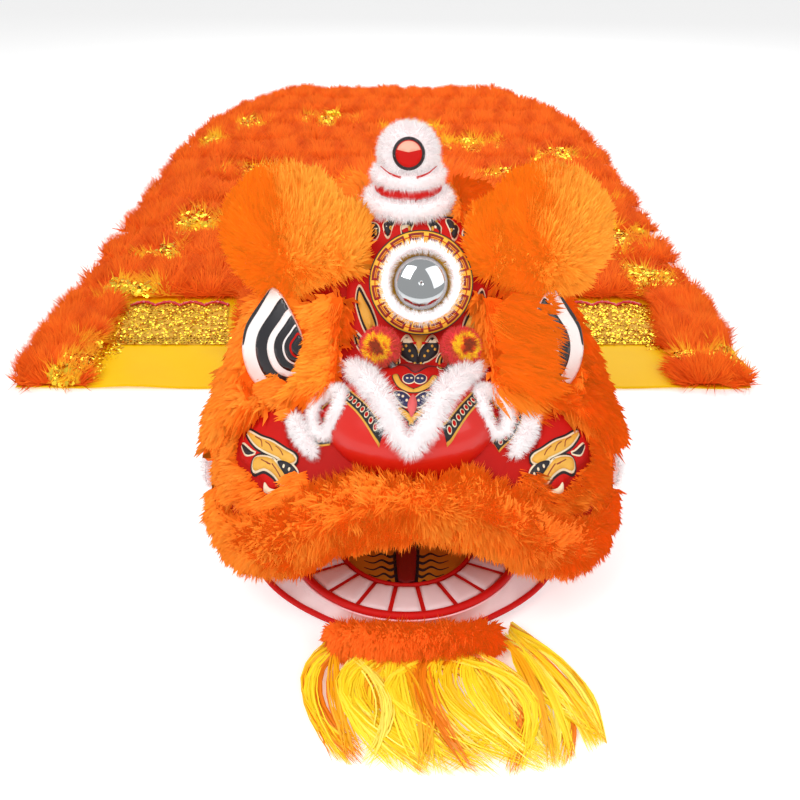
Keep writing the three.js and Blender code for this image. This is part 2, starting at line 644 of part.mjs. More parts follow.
// Half width of the cape: straight sides and a squared tail with round corners
function capeHalf(y) {
  const over = Math.max(y - (cape.back - cape.corner), 0) / cape.corner;
  return cape.half * (0.48 + 0.52 * Math.sqrt(Math.max(1 - over ** 1.6, 0)));
}

// The underside of the cape: side runs from -1 to 1, and the middle rises in an arch
const archShare = 0.5;
function capeBase(side, y) {
  const rise = archHeight(y);
  const soft = THREE.MathUtils.clamp((y - cape.neck) / 300, 0, 1);
  const half = mix(cape.archHalf, 330, soft);
  const edge = capeHalf(y);
  const away = Math.abs(side);
  const settle = THREE.MathUtils.smoothstep(y, cape.neck + 300, cape.archEnd);
  let out = mix(half, edge, (away - archShare) / (1 - archShare));
  let high = 0;
  if (away < archShare) {
    const round = (Math.PI / 2) * (1 - away / archShare);
    const squareness = mix(2.3, 1.3, soft);
    out = half * power(Math.cos(round), 2 / squareness);
    high = rise * power(Math.sin(round), 2 / squareness);
  }
  const slide = THREE.MathUtils.smoothstep(y, cape.neck, cape.neck + 400);
  const beside = THREE.MathUtils.clamp((away - archShare) / 0.25, 0, 1);
  const middle = cape.x * Math.min(away / archShare, 1) * mix(slide, 1, beside);
  return vec(middle + Math.sign(side) * mix(out, away * edge, settle), y, high);
}

const capeSides = [-1, -0.75, -0.5, -0.46, -0.4, -0.3, -0.2, -0.1, 0];
const acrossCape = [...capeSides, ...capeSides.slice(0, -1).map((s) => -s).reverse()];

// A point of the cape lifted off its underside, square to the panels on both sides of it
function capePoint(side, y, lift) {
  const here = capeBase(side, y);
  const before = acrossCape.findLast((s) => s < side - 1e-6) ?? side;
  const after = acrossCape.find((s) => s > side + 1e-6) ?? side;
  const normals = [[before, side], [side, after]].filter(([a, b]) => a !== b).map(([a, b]) => {
    const step = capeBase(b, y).sub(capeBase(a, y)).normalize();
    return vec(-step.z, 0, step.x);
  });
  if (normals.length === 1) normals.push(normals[0]);
  const sum = normals[0].clone().add(normals[1]);
  return here.addScaledVector(sum, lift / (1 + normals[0].dot(normals[1])));
}

const frontEdge = (side) => (Math.abs(side) <= 0.5 ? cape.neck : mix(cape.neck + 8, 664, Math.min((Math.abs(side) - 0.5) * 8, 1)));
const capeLines = [cape.neck, 642, 730, 818, 856, 944, 1032, 1076, 1238, cape.archEnd];
const capeBackLines = [2500, 2760, 2960, 3110, cape.back];
function capeGrid(lift) {
  return acrossCape.map((side) => {
    const front = frontEdge(side);
    const lines = capeLines.map((y) => mix(front, cape.archEnd, (y - cape.neck) / (cape.archEnd - cape.neck)));
    return [...lines, ...capeBackLines].map((y) => capePoint(side, y, lift));
  });
}
add("cape_cloth", slab(capeGrid(clothWall), capeGrid(0)), colours.yellow, 0.5);

// A layer on the cape: its seat from front to back, its scalloped edge, and its thickness
function capeLayer(sides, front, seatBack, backAt, profile) {
  const low = clothWall + 2 * gap;
  const rings = sides.map((side, i) => {
    const back = backAt(side, i);
    const thin = Math.abs(side) > 0.97 ? 0.5 : 1;
    const upper = profile.map(([t, lift]) => capePoint(side, mix(front, back, t), low + lift * thin));
    return [front, ...seatBack(side, back)].map((y) => capePoint(side, y, low)).concat(upper.reverse());
  });
  return geometryOf(solid(loft(rings)));
}

function evenSides(from, to, count) {
  return Array.from({ length: count + 1 }, (_, k) => mix(from, to, k / count));
}

// Fur rows with scalloped free edges towards the tail
const furProfile = [[0.1, 32], [0.8, 34]];
const scallop = (side, i, row) => (i % 2 ? 26 : -14) + 8 * Math.sin(9 * side + row);
const rowLength = 156;
for (let row = 0; row < rowCount; row += 1) {
  const start = 1076 + row * rowPitch;
  const rising = start < cape.archEnd;
  const backAt = (side, i) => Math.min(start + rowLength + scallop(side, i, row), cape.back - 1);
  const sides = rising ? acrossCape : evenSides(-1, 1, 12);
  const seat = (side, back) => [rising ? 1238 : back];
  const layer = capeLayer(sides, start, seat, backAt, furProfile);
  add(`cape_fur_row_${String(row + 1).padStart(2, "0")}`, layer, colours.fur);
}

// Fur over the neck of the cape, where it rises to the head
for (const [start, middle, end, name] of [[642, 730, 818, "front"], [856, 944, 1032, "back"]]) {
  const sides = acrossCape.filter((side) => Math.abs(side) <= 0.5);
  const backAt = (side, i) => end + (i % 2 ? 22 : 2);
  add(`cape_neck_fur_${name}`, capeLayer(sides, start, () => [middle, end], backAt, furProfile), colours.fur);
}

// Fur down the front corners of the cape, and the glittering bands beside the bare front hem
const lobes = [[0.02, 14], [0.14, 36], [0.32, 24], [0.5, 38], [0.68, 24], [0.86, 36], [0.98, 14]];
const band = { front: 846, back: 1046, wave: 14, thick: 1.4 };
for (const [side, name] of [[-1, "left"], [1, "right"]]) {
  const seat = (place, back) => [back];
  const outer = evenSides(side * 0.84, side, 4);
  add(`cape_side_fur_${name}`, capeLayer(outer, 652, seat, () => 1066, lobes), colours.fur);
  const bandSides = evenSides(side * 0.54, side * 0.825, 6);
  const wave = (place, i) => band.back + (i % 2 ? band.wave : -band.wave);
  const strip = capeLayer(bandSides, band.front, seat, wave, [[0, band.thick], [1, band.thick]]);
  add(`cape_front_band_${name}`, strip, colours.gold, 0.4, 0.5);
}

head.name = "lion";
const part = new THREE.Group();
part.add(head);
const box = new THREE.Box3().setFromObject(head);
head.position.set(-(box.min.x + box.max.x) / 2, -(box.min.y + box.max.y) / 2, -box.min.z);

export default part;
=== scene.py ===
"""Lion dance head: fur, printed cloth, mirror, horn, jaw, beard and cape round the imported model."""

import math

import bpy
import numpy as np
from mathutils import Matrix, Vector, geometry, kdtree


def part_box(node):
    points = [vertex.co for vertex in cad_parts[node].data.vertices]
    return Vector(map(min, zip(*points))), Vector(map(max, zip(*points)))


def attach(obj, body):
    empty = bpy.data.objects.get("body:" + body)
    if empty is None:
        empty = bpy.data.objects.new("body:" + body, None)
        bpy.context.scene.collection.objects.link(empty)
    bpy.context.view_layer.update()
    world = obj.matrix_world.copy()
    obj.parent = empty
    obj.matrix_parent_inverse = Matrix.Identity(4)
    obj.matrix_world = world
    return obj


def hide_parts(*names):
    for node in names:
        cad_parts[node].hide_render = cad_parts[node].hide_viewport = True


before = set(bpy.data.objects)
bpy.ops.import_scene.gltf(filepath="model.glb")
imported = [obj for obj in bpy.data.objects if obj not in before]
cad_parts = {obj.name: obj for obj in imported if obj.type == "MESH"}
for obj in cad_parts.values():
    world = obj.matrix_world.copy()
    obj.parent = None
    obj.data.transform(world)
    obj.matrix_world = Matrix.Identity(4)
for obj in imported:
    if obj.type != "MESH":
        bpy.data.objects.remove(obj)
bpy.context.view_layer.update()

# Places are written in millimetres from the front of the lip, on the mid-plane and the floor.
MM = 0.001
shell_low, shell_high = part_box("head_shell")
START = np.array([(shell_low[0] + shell_high[0]) / 2, shell_low[1] - 4 * MM, 0.0])
SIDES = ((-1, "left"), (1, "right"))
DOWN = np.array([0.0, 0.0, -1.0])


def placed(points):
    return np.asarray(points, float) * MM + START


def local(points):
    return (np.asarray(points, float) - START) / MM


def shade(red, green, blue):
    """A colour as it looks on screen, turned into light values."""
    values = [c / 255 for c in (red, green, blue)]
    return tuple(v / 12.92 if v <= 0.04045 else ((v + 0.055) / 1.055) ** 2.4 for v in values)


def unit(vectors):
    return vectors / (np.linalg.norm(vectors, axis=-1, keepdims=True) + 1e-12)


def mix(a, b, t):
    return a + (b - a) * t


# Sizes of the head, as in the solid model
STATIONS = np.array([
    # behind the lip, half width, crown height, rim height, squareness
    [4, 110, 200, 172, 3.0],
    [25, 182, 236, 162, 3.0],
    [60, 232, 278, 150, 3.0],
    [110, 256, 314, 125, 3.0],
    [150, 260, 336, 105, 3.0],
    [182, 252, 358, 85, 2.9],
    [212, 242, 424, 50, 2.7],
    [244, 228, 492, 0, 2.5],
    [264, 220, 503, 0, 2.4],
    [340, 216, 505, 0, 2.3],
    [430, 214, 494, 0, 2.3],
    [520, 212, 456, 0, 2.3],
    [620, 208, 402, 0, 2.3],
])
NOSE = {"centre": (-4, 105, 280), "radii": (112, 82, 74)}
MIRROR = {"centre": (10, 202, 434), "glass": 35, "fur": 59, "rim": 67, "tilt": 24}
HORN = {"x": -6, "y": 293, "ball": 40, "ball_z": 574}
BROW_X = 5
EYE = {"x": 182, "y": 184, "z": 358, "yaw": 20, "pitch": 20}
POMPOM = {"x": 9, "spread": 51, "y": 146, "z": 370, "r": 25}
CAPE = {"x": -50, "half": 728, "back": 3205, "neck": 620.3, "arch_end": 1260, "arch_half": 206.5,
        "arch_top": 400, "corner": 760, "share": 0.5}


def head_height(x, y):
    _, half, top, rim, square = (np.interp(y, STATIONS[:, 0], STATIONS[:, k]) for k in range(5))
    share = np.minimum(np.abs(x) / half, 1)
    return rim + (top - rim) * (1 - share**square) ** (1 / square)


def nose_height(x, y):
    (cx, cy, cz), (rx, ry, rz) = NOSE["centre"], NOSE["radii"]
    share = 1 - ((x - cx) / rx) ** 2 - ((y - cy) / ry) ** 2
    return np.where(share > 0, cz + rz * np.sqrt(np.maximum(share, 0)), 0)


def face_height(x, y):
    return np.maximum(head_height(x, y), nose_height(x, y))


# Pieces from points and faces
def new_mesh(name, points, faces, finishes, picks=None, tints=None, normals=None, smooth=True):
    """An object in place, from points in metres and triangles or squares."""
    faces = [np.asarray(f, np.int32) for f in faces if len(f)]
    loops = np.concatenate([f.ravel() for f in faces])
    sizes = np.concatenate([np.full(len(f), f.shape[1], np.int32) for f in faces])
    mesh = bpy.data.meshes.new(name)
    mesh.vertices.add(len(points))
    mesh.vertices.foreach_set("co", np.asarray(points, np.float32).ravel())
    mesh.loops.add(len(loops))
    mesh.loops.foreach_set("vertex_index", loops)
    mesh.polygons.add(len(sizes))
    mesh.polygons.foreach_set("loop_start", np.concatenate([[0], np.cumsum(sizes)[:-1]]).astype(np.int32))
    for finish in finishes:
        mesh.materials.append(finish)
    if picks is not None:
        mesh.polygons.foreach_set("material_index", np.asarray(picks, np.int32))
    mesh.polygons.foreach_set("use_smooth", np.full(len(sizes), smooth))
    if tints is not None:
        layer = mesh.attributes.new("tint", "FLOAT_COLOR", "POINT")
        layer.data.foreach_set("color", np.asarray(tints, np.float32).ravel())
    mesh.update(calc_edges=True)
    mesh.validate()
    if normals is not None:
        mesh.normals_split_custom_set_from_vertices(np.asarray(normals, float))
    piece = bpy.data.objects.new(name, mesh)
    bpy.context.scene.collection.objects.link(piece)
    return piece


def settle(piece, body, slot, *nodes):
    """The piece rides on its body and stands for the nodes; the slot is not used."""
    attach(piece, body)
    if nodes:
        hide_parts(*nodes)
    return piece


def lathe(centre, axis, across, profile, count):
    """Points and squares of a turned body whose profile closes on itself: rows of radius and height."""
    axis, across = np.array(axis, float), np.array(across, float)
    up = np.cross(axis, across)
    turns = np.linspace(0, 2 * math.pi, count, endpoint=False)
    outward = np.outer(np.cos(turns), across) + np.outer(np.sin(turns), up)
    profile = np.array(profile, float)
    points = np.array(centre) + outward[:, None] * profile[None, :, :1] + axis * profile[None, :, 1:]
    return points.reshape(-1, 3), ring_squares(count, len(profile), True, True)


def ring_squares(rows, columns, wrap_rows, wrap_columns):
    a = np.arange(rows if wrap_rows else rows - 1)[:, None]
    b = np.arange(columns if wrap_columns else columns - 1)[None]
    after, beside = (a + 1) % rows, (b + 1) % columns
    corners = [a * columns + b, after * columns + b, after * columns + beside, a * columns + beside]
    return np.stack([np.broadcast_to(c, (a.size, b.size)) for c in corners], -1).reshape(-1, 4)


def joined(parts):
    """Points and faces of several parts as one."""
    points, faces, start = [], [], 0
    for part_points, part_faces in parts:
        points.append(part_points)
        faces.append(np.asarray(part_faces) + start)
        start += len(part_points)
    return np.concatenate(points), faces


def tube(path, radius, sides=8, endless=False):
    """Points and squares of a tube along a path of points; its ends close on their middle."""
    path = np.array(path, float)
    after, before = np.roll(path, -1, 0), np.roll(path, 1, 0)
    if not endless:
        after[-1], before[0] = path[-1], path[0]
    along = unit(after - before)
    steady = np.where(np.abs(along[:, 2:3]) > 0.9, [[0, 1, 0]], [[0, 0, 1]])
    across = unit(np.cross(along, steady))
    over = np.cross(across, along)
    radius = np.broadcast_to(radius, len(path)).astype(float).copy()
    if not endless:
        path = np.concatenate([path[:1], path, path[-1:]])
        radius = np.concatenate([[1e-3], radius, [1e-3]])
        across, over = (np.concatenate([v[:1], v, v[-1:]]) for v in (across, over))
    turns = np.linspace(0, 2 * math.pi, sides, endpoint=False)
    ring = across[:, None] * np.cos(turns)[None, :, None] + over[:, None] * np.sin(turns)[None, :, None]
    points = path[:, None] + ring * radius[:, None, None]
    return points.reshape(-1, 3), ring_squares(len(path), sides, endless, True)


def smooth_line(points, per=6, endless=True):
    """A smooth line through the points."""
    points = np.array(points, float)
    if endless:
        rows = [np.roll(points, 1, 0), points, np.roll(points, -1, 0), np.roll(points, -2, 0)]
    else:
        long = np.concatenate([2 * points[:1] - points[1:2], points, 2 * points[-1:] - points[-2:-1]])
        rows = [long[:-3], long[1:-2], long[2:-1], long[3:]]
    before, start, end, after = rows
    t = np.linspace(0, 1, per, endpoint=False)[None, :, None]
    before, start, end, after = (r[:, None] for r in (before, start, end, after))
    line = start * 2 + (end - before) * t + (before * 2 - start * 5 + end * 4 - after) * t**2
    line = (line + (start * 3 - before - end * 3 + after) * t**3) / 2
    line = line.reshape(-1, points.shape[1])
    return line if endless else np.concatenate([line, points[-1:]])


def turning(outline):
    after = np.roll(outline, -1, 0)
    return np.sign((outline[:, 0] * after[:, 1] - after[:, 0] * outline[:, 1]).sum())


def grown(outline, out):
    """The outline moved outwards by so much."""
    along = unit(np.roll(outline, -1, 0) - np.roll(outline, 1, 0))
    return outline + np.stack([along[:, 1], -along[:, 0]], 1) * out * turning(outline)


def ribbon(path, width, per=5):
    """The outline of a ribbon along a path of points."""
    line = smooth_line(path, per, False)
    ends = np.concatenate([2 * line[:1] - line[1:2], line, 2 * line[-1:] - line[-2:-1]])
    along = unit(ends[2:] - ends[:-2])
    out = np.stack([along[:, 1], -along[:, 0]], 1) * width / 2
    return np.concatenate([line + out, (line - out)[::-1]])


def inside(outline, points, margin):
    """Which points lie inside the outline, at least the margin from its edge."""
    a, b = outline[None], np.roll(outline, -1, 0)[None]
    p = points[:, None]
    crosses = (a[..., 1] > p[..., 1]) != (b[..., 1] > p[..., 1])
    slope = (b[..., 0] - a[..., 0]) / (b[..., 1] - a[..., 1] + 1e-12)
    odd = (crosses & (p[..., 0] < a[..., 0] + slope * (p[..., 1] - a[..., 1]))).sum(1) % 2 == 1
    run = b - a
    share = np.clip(((p - a) * run).sum(-1) / ((run**2).sum(-1) + 1e-12), 0, 1)
    near = np.linalg.norm(a + run * share[..., None] - p, axis=-1).min(1)
    return odd & (near > margin)


def skin(height):
    """A surface given by its height: it lifts plan points square to itself."""
    def lifted(places, lift):
        x, y = places[:, 0], places[:, 1]
        slope_x = height(x + 0.5, y) - height(x - 0.5, y)
        slope_y = height(x, y + 0.5) - height(x, y - 0.5)
        normals = unit(np.stack([-slope_x, -slope_y, np.ones(len(x))], 1))
        return np.stack([x, y, height(x, y)], 1) + normals * lift
    return lifted


face_skin = skin(face_height)


def patch(outline, lift, surface=face_skin, step=6.0, deep=0.9):
    """A thin closed slab with this outline laid on a surface: points and triangles."""
    low, high = outline.min(0), outline.max(0)
    rows = [np.arange(a + step / 2, b, step) for a, b in zip(low, high)]
    grid = np.stack(np.meshgrid(*rows), -1).reshape(-1, 2)
    if len(grid):
        grid = grid[inside(outline, grid, step * 0.45)]
    count = len(outline)
    places = [Vector(place) for place in np.concatenate([outline, grid])]
    edges = [(k, (k + 1) % count) for k in range(count)]
    places, _, faces, *_ = geometry.delaunay_2d_cdt(places, edges, [], 1, 1e-4)
    places, faces = np.array([tuple(place) for place in places]), np.array(faces, int)
    sides = {}
    for a, b, c in faces:
        for edge in ((a, b), (b, c), (c, a)):
            sides[edge] = True
    rim = np.array([edge for edge in sides if (edge[1], edge[0]) not in sides])
    total = len(places)
    a, b = rim[:, 0], rim[:, 1]
    walls = np.concatenate([np.stack([b, a, a + total], 1), np.stack([b, a + total, b + total], 1)])
    points = np.concatenate([surface(places, lift), surface(places, lift - deep)])
    return points, np.concatenate([faces, faces[:, ::-1] + total, walls])


def laid(name, outlines, lift, material, slot, *nodes, surface=face_skin, body="head", step=6.0, deep=0.9):
    """One piece of one or more patches with a common finish."""
    points, faces = joined([patch(outline, lift, surface, step, deep) for outline in outlines])
    return settle(new_mesh(name, placed(points), faces, [material]), body, slot, *nodes)


def ovals(places, radius, count=12, stretch=1.0):
    turns = np.linspace(0, 2 * math.pi, count, endpoint=False)
    ring = np.stack([np.cos(turns), np.sin(turns) * stretch], 1) * radius
    return [np.asarray(place) + ring for place in places]


def spaced(path, gap, margin=0.0):
    """Places at an even gap along a path of points."""
    line = smooth_line(path, 12, False)
    reach = np.concatenate([[0], np.cumsum(np.linalg.norm(np.diff(line, axis=0), axis=1))])
    at = np.arange(margin, reach[-1] - margin, gap)
    return np.stack([np.interp(at, reach, line[:, k]) for k in range(line.shape[1])], 1)


# Finishes
def finish(name, colour, rough, metal=0.0, sheen=0.0, coat=0.0, specular=0.5):
    material = bpy.data.materials.new(name)
    material.use_nodes = True
    shader = material.node_tree.nodes["Principled BSDF"]
    shader.inputs["Base Color"].default_value = (*colour, 1)
    shader.inputs["Roughness"].default_value = rough
    shader.inputs["Metallic"].default_value = metal
    shader.inputs["Sheen Weight"].default_value = sheen
    shader.inputs["Coat Weight"].default_value = coat
    shader.inputs["Specular IOR Level"].default_value = specular
    return material


def node_of(material, kind, **inputs):
    node = material.node_tree.nodes.new(kind)
    for key, value in inputs.items():
        node.inputs[key.replace("_", " ")].default_value = value
    return node


def fur_finish(name, glow, strength):
    """Fur takes its colour from each strand's own tint; the glow is painted light, an even emission that brightens
    strands shaded by their neighbours.
    """
    material = finish(name, (0.8, 0.8, 0.8), 0.8, specular=0.08)
    material.node_tree.nodes["Principled BSDF"].inputs["Emission Color"].default_value = (*glow, 1)
    material.node_tree.nodes["Principled BSDF"].inputs["Emission Strength"].default_value = strength
    tint = node_of(material, "ShaderNodeAttribute")
    tint.attribute_name = "tint"
    shader = material.node_tree.nodes["Principled BSDF"]
    material.node_tree.links.new(tint.outputs["Color"], shader.inputs["Base Color"])
    return material


def woven(material, colour, dark, scale, grain, bump=0.15, rough=(0.45, 0.75)):
    """Cloth with a weave: two crossed waves for the threads and a slow change of colour."""
    tree = material.node_tree
    shader = tree.nodes["Principled BSDF"]
    place = tree.nodes.new("ShaderNodeTexCoord")
    slow = node_of(material, "ShaderNodeTexNoise", Scale=scale, Detail=4.0, Roughness=0.6)
    ramp = tree.nodes.new("ShaderNodeMix")
    ramp.data_type = "RGBA"
    ramp.inputs[6].default_value = (*dark, 1)
    ramp.inputs[7].default_value = (*colour, 1)
    tree.links.new(place.outputs["Object"], slow.inputs["Vector"])
    tree.links.new(slow.outputs["Fac"], ramp.inputs[0])
    tree.links.new(ramp.outputs[2], shader.inputs["Base Color"])
    threads = [node_of(material, "ShaderNodeTexWave", Scale=grain, Distortion=0.6) for _ in range(2)]
    threads[0].bands_direction, threads[1].bands_direction = "X", "Y"
    both = tree.nodes.new("ShaderNodeMath")
    both.operation = "ADD"
    for k, thread in enumerate(threads):
        tree.links.new(place.outputs["Object"], thread.inputs["Vector"])
        tree.links.new(thread.outputs["Fac"], both.inputs[k])
    relief = node_of(material, "ShaderNodeBump", Strength=bump, Distance=0.0004)
    tree.links.new(both.outputs[0], relief.inputs["Height"])
    tree.links.new(relief.outputs["Normal"], shader.inputs["Normal"])
    worn = node_of(material, "ShaderNodeMapRange")
    worn.inputs["To Min"].default_value, worn.inputs["To Max"].default_value = rough
    tree.links.new(slow.outputs["Fac"], worn.inputs["Value"])
    tree.links.new(worn.outputs["Result"], shader.inputs["Roughness"])
    return material


# Every fur, the wool and the beard glow with painted light: an even emission in the glow colour that lifts the shade
# among the strands.
orange_fur = fur_finish("orange_fur", shade(255, 120, 24), 0.29)
brow_fur = fur_finish("brow_fur", shade(255, 138, 30), 0.4)
cape_fur = fur_finish("cape_fur", shade(236, 88, 14), 0.16)
white_fur = fur_finish("white_fur", (1.0, 0.97, 0.97), 0.3)
wool = fur_finish("wool", (1.0, 0.3, 0.12), 0.14)
hair = fur_finish("beard_hair", shade(255, 200, 20), 0.06)
hair.node_tree.nodes["Principled BSDF"].inputs["Roughness"].default_value = 0.32
hair.node_tree.nodes["Principled BSDF"].inputs["Specular IOR Level"].default_value = 0.6
print_red = woven(finish("print_red", shade(196, 30, 24), 0.5, specular=0.15), shade(206, 24, 14), shade(172, 12, 8), 18, 900)
print_deep = woven(finish("print_deep_red", shade(140, 14, 12), 0.5), shade(150, 16, 14), shade(110, 8, 8), 20, 900)
print_navy_black = woven(finish("print_blue_black", shade(20, 18, 34), 0.5), shade(26, 22, 44), shade(12, 10, 20), 20, 900)
print_peach = woven(finish("print_peach", shade(246, 176, 150), 0.5), shade(248, 182, 156), shade(238, 150, 128), 20, 900)
print_blush = woven(finish("print_blush", shade(244, 196, 200), 0.5), shade(246, 200, 204), shade(230, 176, 182), 20, 900)
sequin_dark = finish("sequin_dark_gold", shade(150, 110, 20), 0.25, metal=1.0)
print_gold = woven(finish("print_gold", shade(226, 168, 52), 0.5), shade(236, 184, 70), shade(206, 140, 38), 30, 900)
print_black = woven(finish("print_black", shade(24, 20, 26), 0.5), shade(30, 25, 32), shade(14, 11, 15), 30, 900)
print_cream = woven(finish("print_cream", shade(240, 224, 190), 0.5), shade(244, 230, 200), shade(226, 206, 170), 30, 900)
print_navy = woven(finish("print_navy", shade(34, 34, 84), 0.5), shade(40, 40, 96), shade(22, 22, 58), 30, 900)
print_pink = woven(finish("print_pink", shade(220, 90, 90), 0.5), shade(224, 100, 96), shade(200, 70, 74), 30, 900)
lacquer = woven(finish("nose_lacquer", shade(206, 26, 24), 0.25, coat=0.4, specular=0.3), shade(214, 34, 18), shade(188, 14, 8), 9, 500, 0.04, (0.24, 0.4))
jaw_cloth = woven(finish("jaw_cloth", shade(240, 222, 222), 0.6), shade(240, 224, 224), shade(222, 192, 194), 14, 700)
red_band = woven(finish("red_band", shade(205, 26, 22), 0.5, specular=0.2), shade(208, 18, 12), shade(176, 10, 8), 20, 700)
ochre = woven(finish("ochre_lining", shade(206, 142, 30), 0.5), shade(214, 152, 36), shade(180, 116, 22), 20, 700)
satin = woven(finish("yellow_satin", shade(246, 206, 6), 0.34, specular=0.12), shade(250, 208, 0), shade(238, 186, 0), 6, 900, 0.05, (0.36, 0.5))
gold_cloth = woven(finish("gold_cloth", shade(240, 196, 40), 0.4, metal=0.2), shade(244, 196, 44), shade(196, 140, 20), 60, 500)
gold_trim = woven(finish("gold_trim", shade(230, 176, 44), 0.35, metal=0.1), shade(250, 196, 54), shade(226, 150, 24), 40, 500)
sequin_gold = finish("sequin_gold", shade(255, 214, 60), 0.26, metal=1.0)
bead_red = finish("bead_red", shade(214, 34, 60), 0.15, coat=0.8)
mirror_glass = finish("mirror_glass", (0.5, 0.52, 0.53), 0.06, metal=1.0)
wire = woven(finish("spring_wire", shade(150, 150, 150), 0.3, metal=0.9), shade(168, 168, 168), shade(120, 120, 122), 80, 400, 0.05, (0.22, 0.4))
eye_white = woven(finish("eye_white", shade(240, 236, 232), 0.35, coat=0.3), shade(244, 240, 236), shade(226, 216, 214), 20, 500, 0.03, (0.25, 0.4))
eye_black = finish("eye_black", shade(22, 20, 26), 0.3, coat=0.3)
lining = woven(finish("shell_print", shade(176, 26, 22), 0.6, specular=0.15), shade(196, 22, 12), shade(150, 12, 8), 14, 600)


# Fur
CORE_SHARE = 0.5


def node_core(node, voxel, inset, smoothing):
    """The node's form, melted smooth and drawn in, so that strands can stand on it: points, triangles, normals."""
    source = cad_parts[node]
    mesh = source.data.copy()
    copy = bpy.data.objects.new(node + "_core", mesh)
    bpy.context.scene.collection.objects.link(copy)
    bpy.ops.object.select_all(action="DESELECT")
    copy.select_set(True)
    bpy.context.view_layer.objects.active = copy
    bpy.ops.object.mode_set(mode="EDIT")
    bpy.ops.mesh.select_all(action="SELECT")
    bpy.ops.mesh.remove_doubles(threshold=1e-5)
    bpy.ops.object.mode_set(mode="OBJECT")
    melt = copy.modifiers.new("melt", "REMESH")
    melt.mode = "VOXEL"
    melt.voxel_size = voxel * MM
    bpy.ops.object.modifier_apply(modifier="melt")
    ease = copy.modifiers.new("ease", "SMOOTH")
    ease.factor = 0.6
    ease.iterations = smoothing
    bpy.ops.object.modifier_apply(modifier="ease")
    thin = copy.modifiers.new("thin", "DECIMATE")
    thin.ratio = CORE_SHARE
    bpy.ops.object.modifier_apply(modifier="thin")
    mesh = copy.data
    points = np.zeros(len(mesh.vertices) * 3, np.float32)
    mesh.vertices.foreach_get("co", points)
    normals = np.zeros(len(mesh.vertices) * 3, np.float32)
    mesh.vertices.foreach_get("normal", normals)
    mesh.calc_loop_triangles()
    triangles = np.zeros(len(mesh.loop_triangles) * 3, np.int32)
    mesh.loop_triangles.foreach_get("vertices", triangles)
    bpy.data.objects.remove(copy)
    points, normals = points.reshape(-1, 3).astype(float), normals.reshape(-1, 3).astype(float)
    return points - normals * inset * MM, triangles.reshape(-1, 3), normals


def scattered(core, count, rng, keep=None):
    """Places spread evenly over a core, with its normals there."""
    points, triangles, normals = core
    a, b, c = (points[triangles[:, k]] for k in range(3))
    area = np.linalg.norm(np.cross(b - a, c - a), axis=1) + 1e-12
    if keep is not None:
        area = area * keep(local((a + b + c) / 3), unit(normals[triangles].sum(1)))
    picks = rng.choice(len(triangles), count, p=area / area.sum())
    u, v = rng.random((2, count, 1))
    flip = (u + v) > 1
    u, v = np.where(flip, 1 - u, u), np.where(flip, 1 - v, v)
    places = a[picks] * (1 - u - v) + b[picks] * u + c[picks] * v
    shares = normals[triangles[picks, 0]] * (1 - u - v) + normals[triangles[picks, 1]] * u
    return places, unit(shares + normals[triangles[picks, 2]] * v)


def strands(places, normals, flow, coat, rng):
    """Thin strands that gather in locks: for each its points, tints and normals, and the faces they share."""
    count = len(places)
    locks = rng.choice(count, max(count // coat["lock"], 1), replace=False)
    tree = kdtree.KDTree(len(locks))
    for k, place in enumerate(places[locks]):
        tree.insert(place, k)
    tree.balance()
    lock = np.array([tree.find(place)[1] for place in places])
    sway = rng.normal(0, 1, (len(locks), 3))[lock] * coat["sway"]
    stray = rng.normal(0, 1, (count, 3)) * coat["stray"]
    length = coat["length"] * MM * rng.uniform(0.7, 1.1, (count, 1)) * rng.uniform(0.8, 1.15, (len(locks), 1))[lock]
    lift = coat["lift"]
    first = unit(normals * lift + flow * 0.4 + sway * 0.5 + stray)
    second = unit(normals * lift * 0.55 + flow + sway + stray + DOWN * coat["droop"])
    middle = places + first * length * 0.5
    tip = middle + second * length * 0.5
    pull = coat["pull"] * rng.uniform(0.4, 1, (count, 1))
    tip = mix(tip, tip[locks[lock]], pull)
    middle = mix(middle, middle[locks[lock]], pull * 0.4)
    side = unit(unit(np.cross(tip - places, normals)) + normals * rng.uniform(-0.5, 0.5, (count, 1)))
    half = coat["width"] * MM / 2 * rng.uniform(0.7, 1.3, (count, 1))
    root = places - normals * MM
    left, right = root - side * half, root + side * half
    if coat["faces"] == 1:
        rows, corners = [left, right, tip], [[0, 1, 2]]
    elif coat["faces"] == 2:
        rows, corners = [left, right, middle + side * half * 0.9, tip], [[0, 1, 2], [0, 2, 3]]
    else:
        rows, corners = [left, right, middle - side * half * 0.8, middle + side * half * 0.8, tip], [[0, 1, 3], [0, 3, 2], [2, 3, 4]]
    points = np.stack(rows, 1)
    glow = rng.uniform(1 - coat["patch"], 1 + coat["patch"], (len(locks), 1))[lock] * rng.uniform(0.9, 1.1, (count, 1))
    warm = rng.uniform(0, 1, (len(locks), 1))[lock] * 0.5 + rng.uniform(0, 0.5, (count, 1))
    ends = [np.array(coat[key]) for key in ("root", "tip", "other")]
    point_tint = mix(ends[1], ends[2], warm) * glow
    root_tint = np.broadcast_to(ends[0], (count, 3)) * glow
    between = mix(root_tint, point_tint, 0.6)
    tints = np.stack([root_tint, root_tint, *[between] * (len(rows) - 3), point_tint], 1)
    tints = np.concatenate([np.clip(tints, 0, 1), np.ones((count, len(rows), 1))], 2)
    facing = unit(normals * 0.9 + second * 0.2 + rng.normal(0, 0.1, (count, 3)))
    return points, np.array(corners), tints, np.repeat(facing[:, None], len(rows), 1)


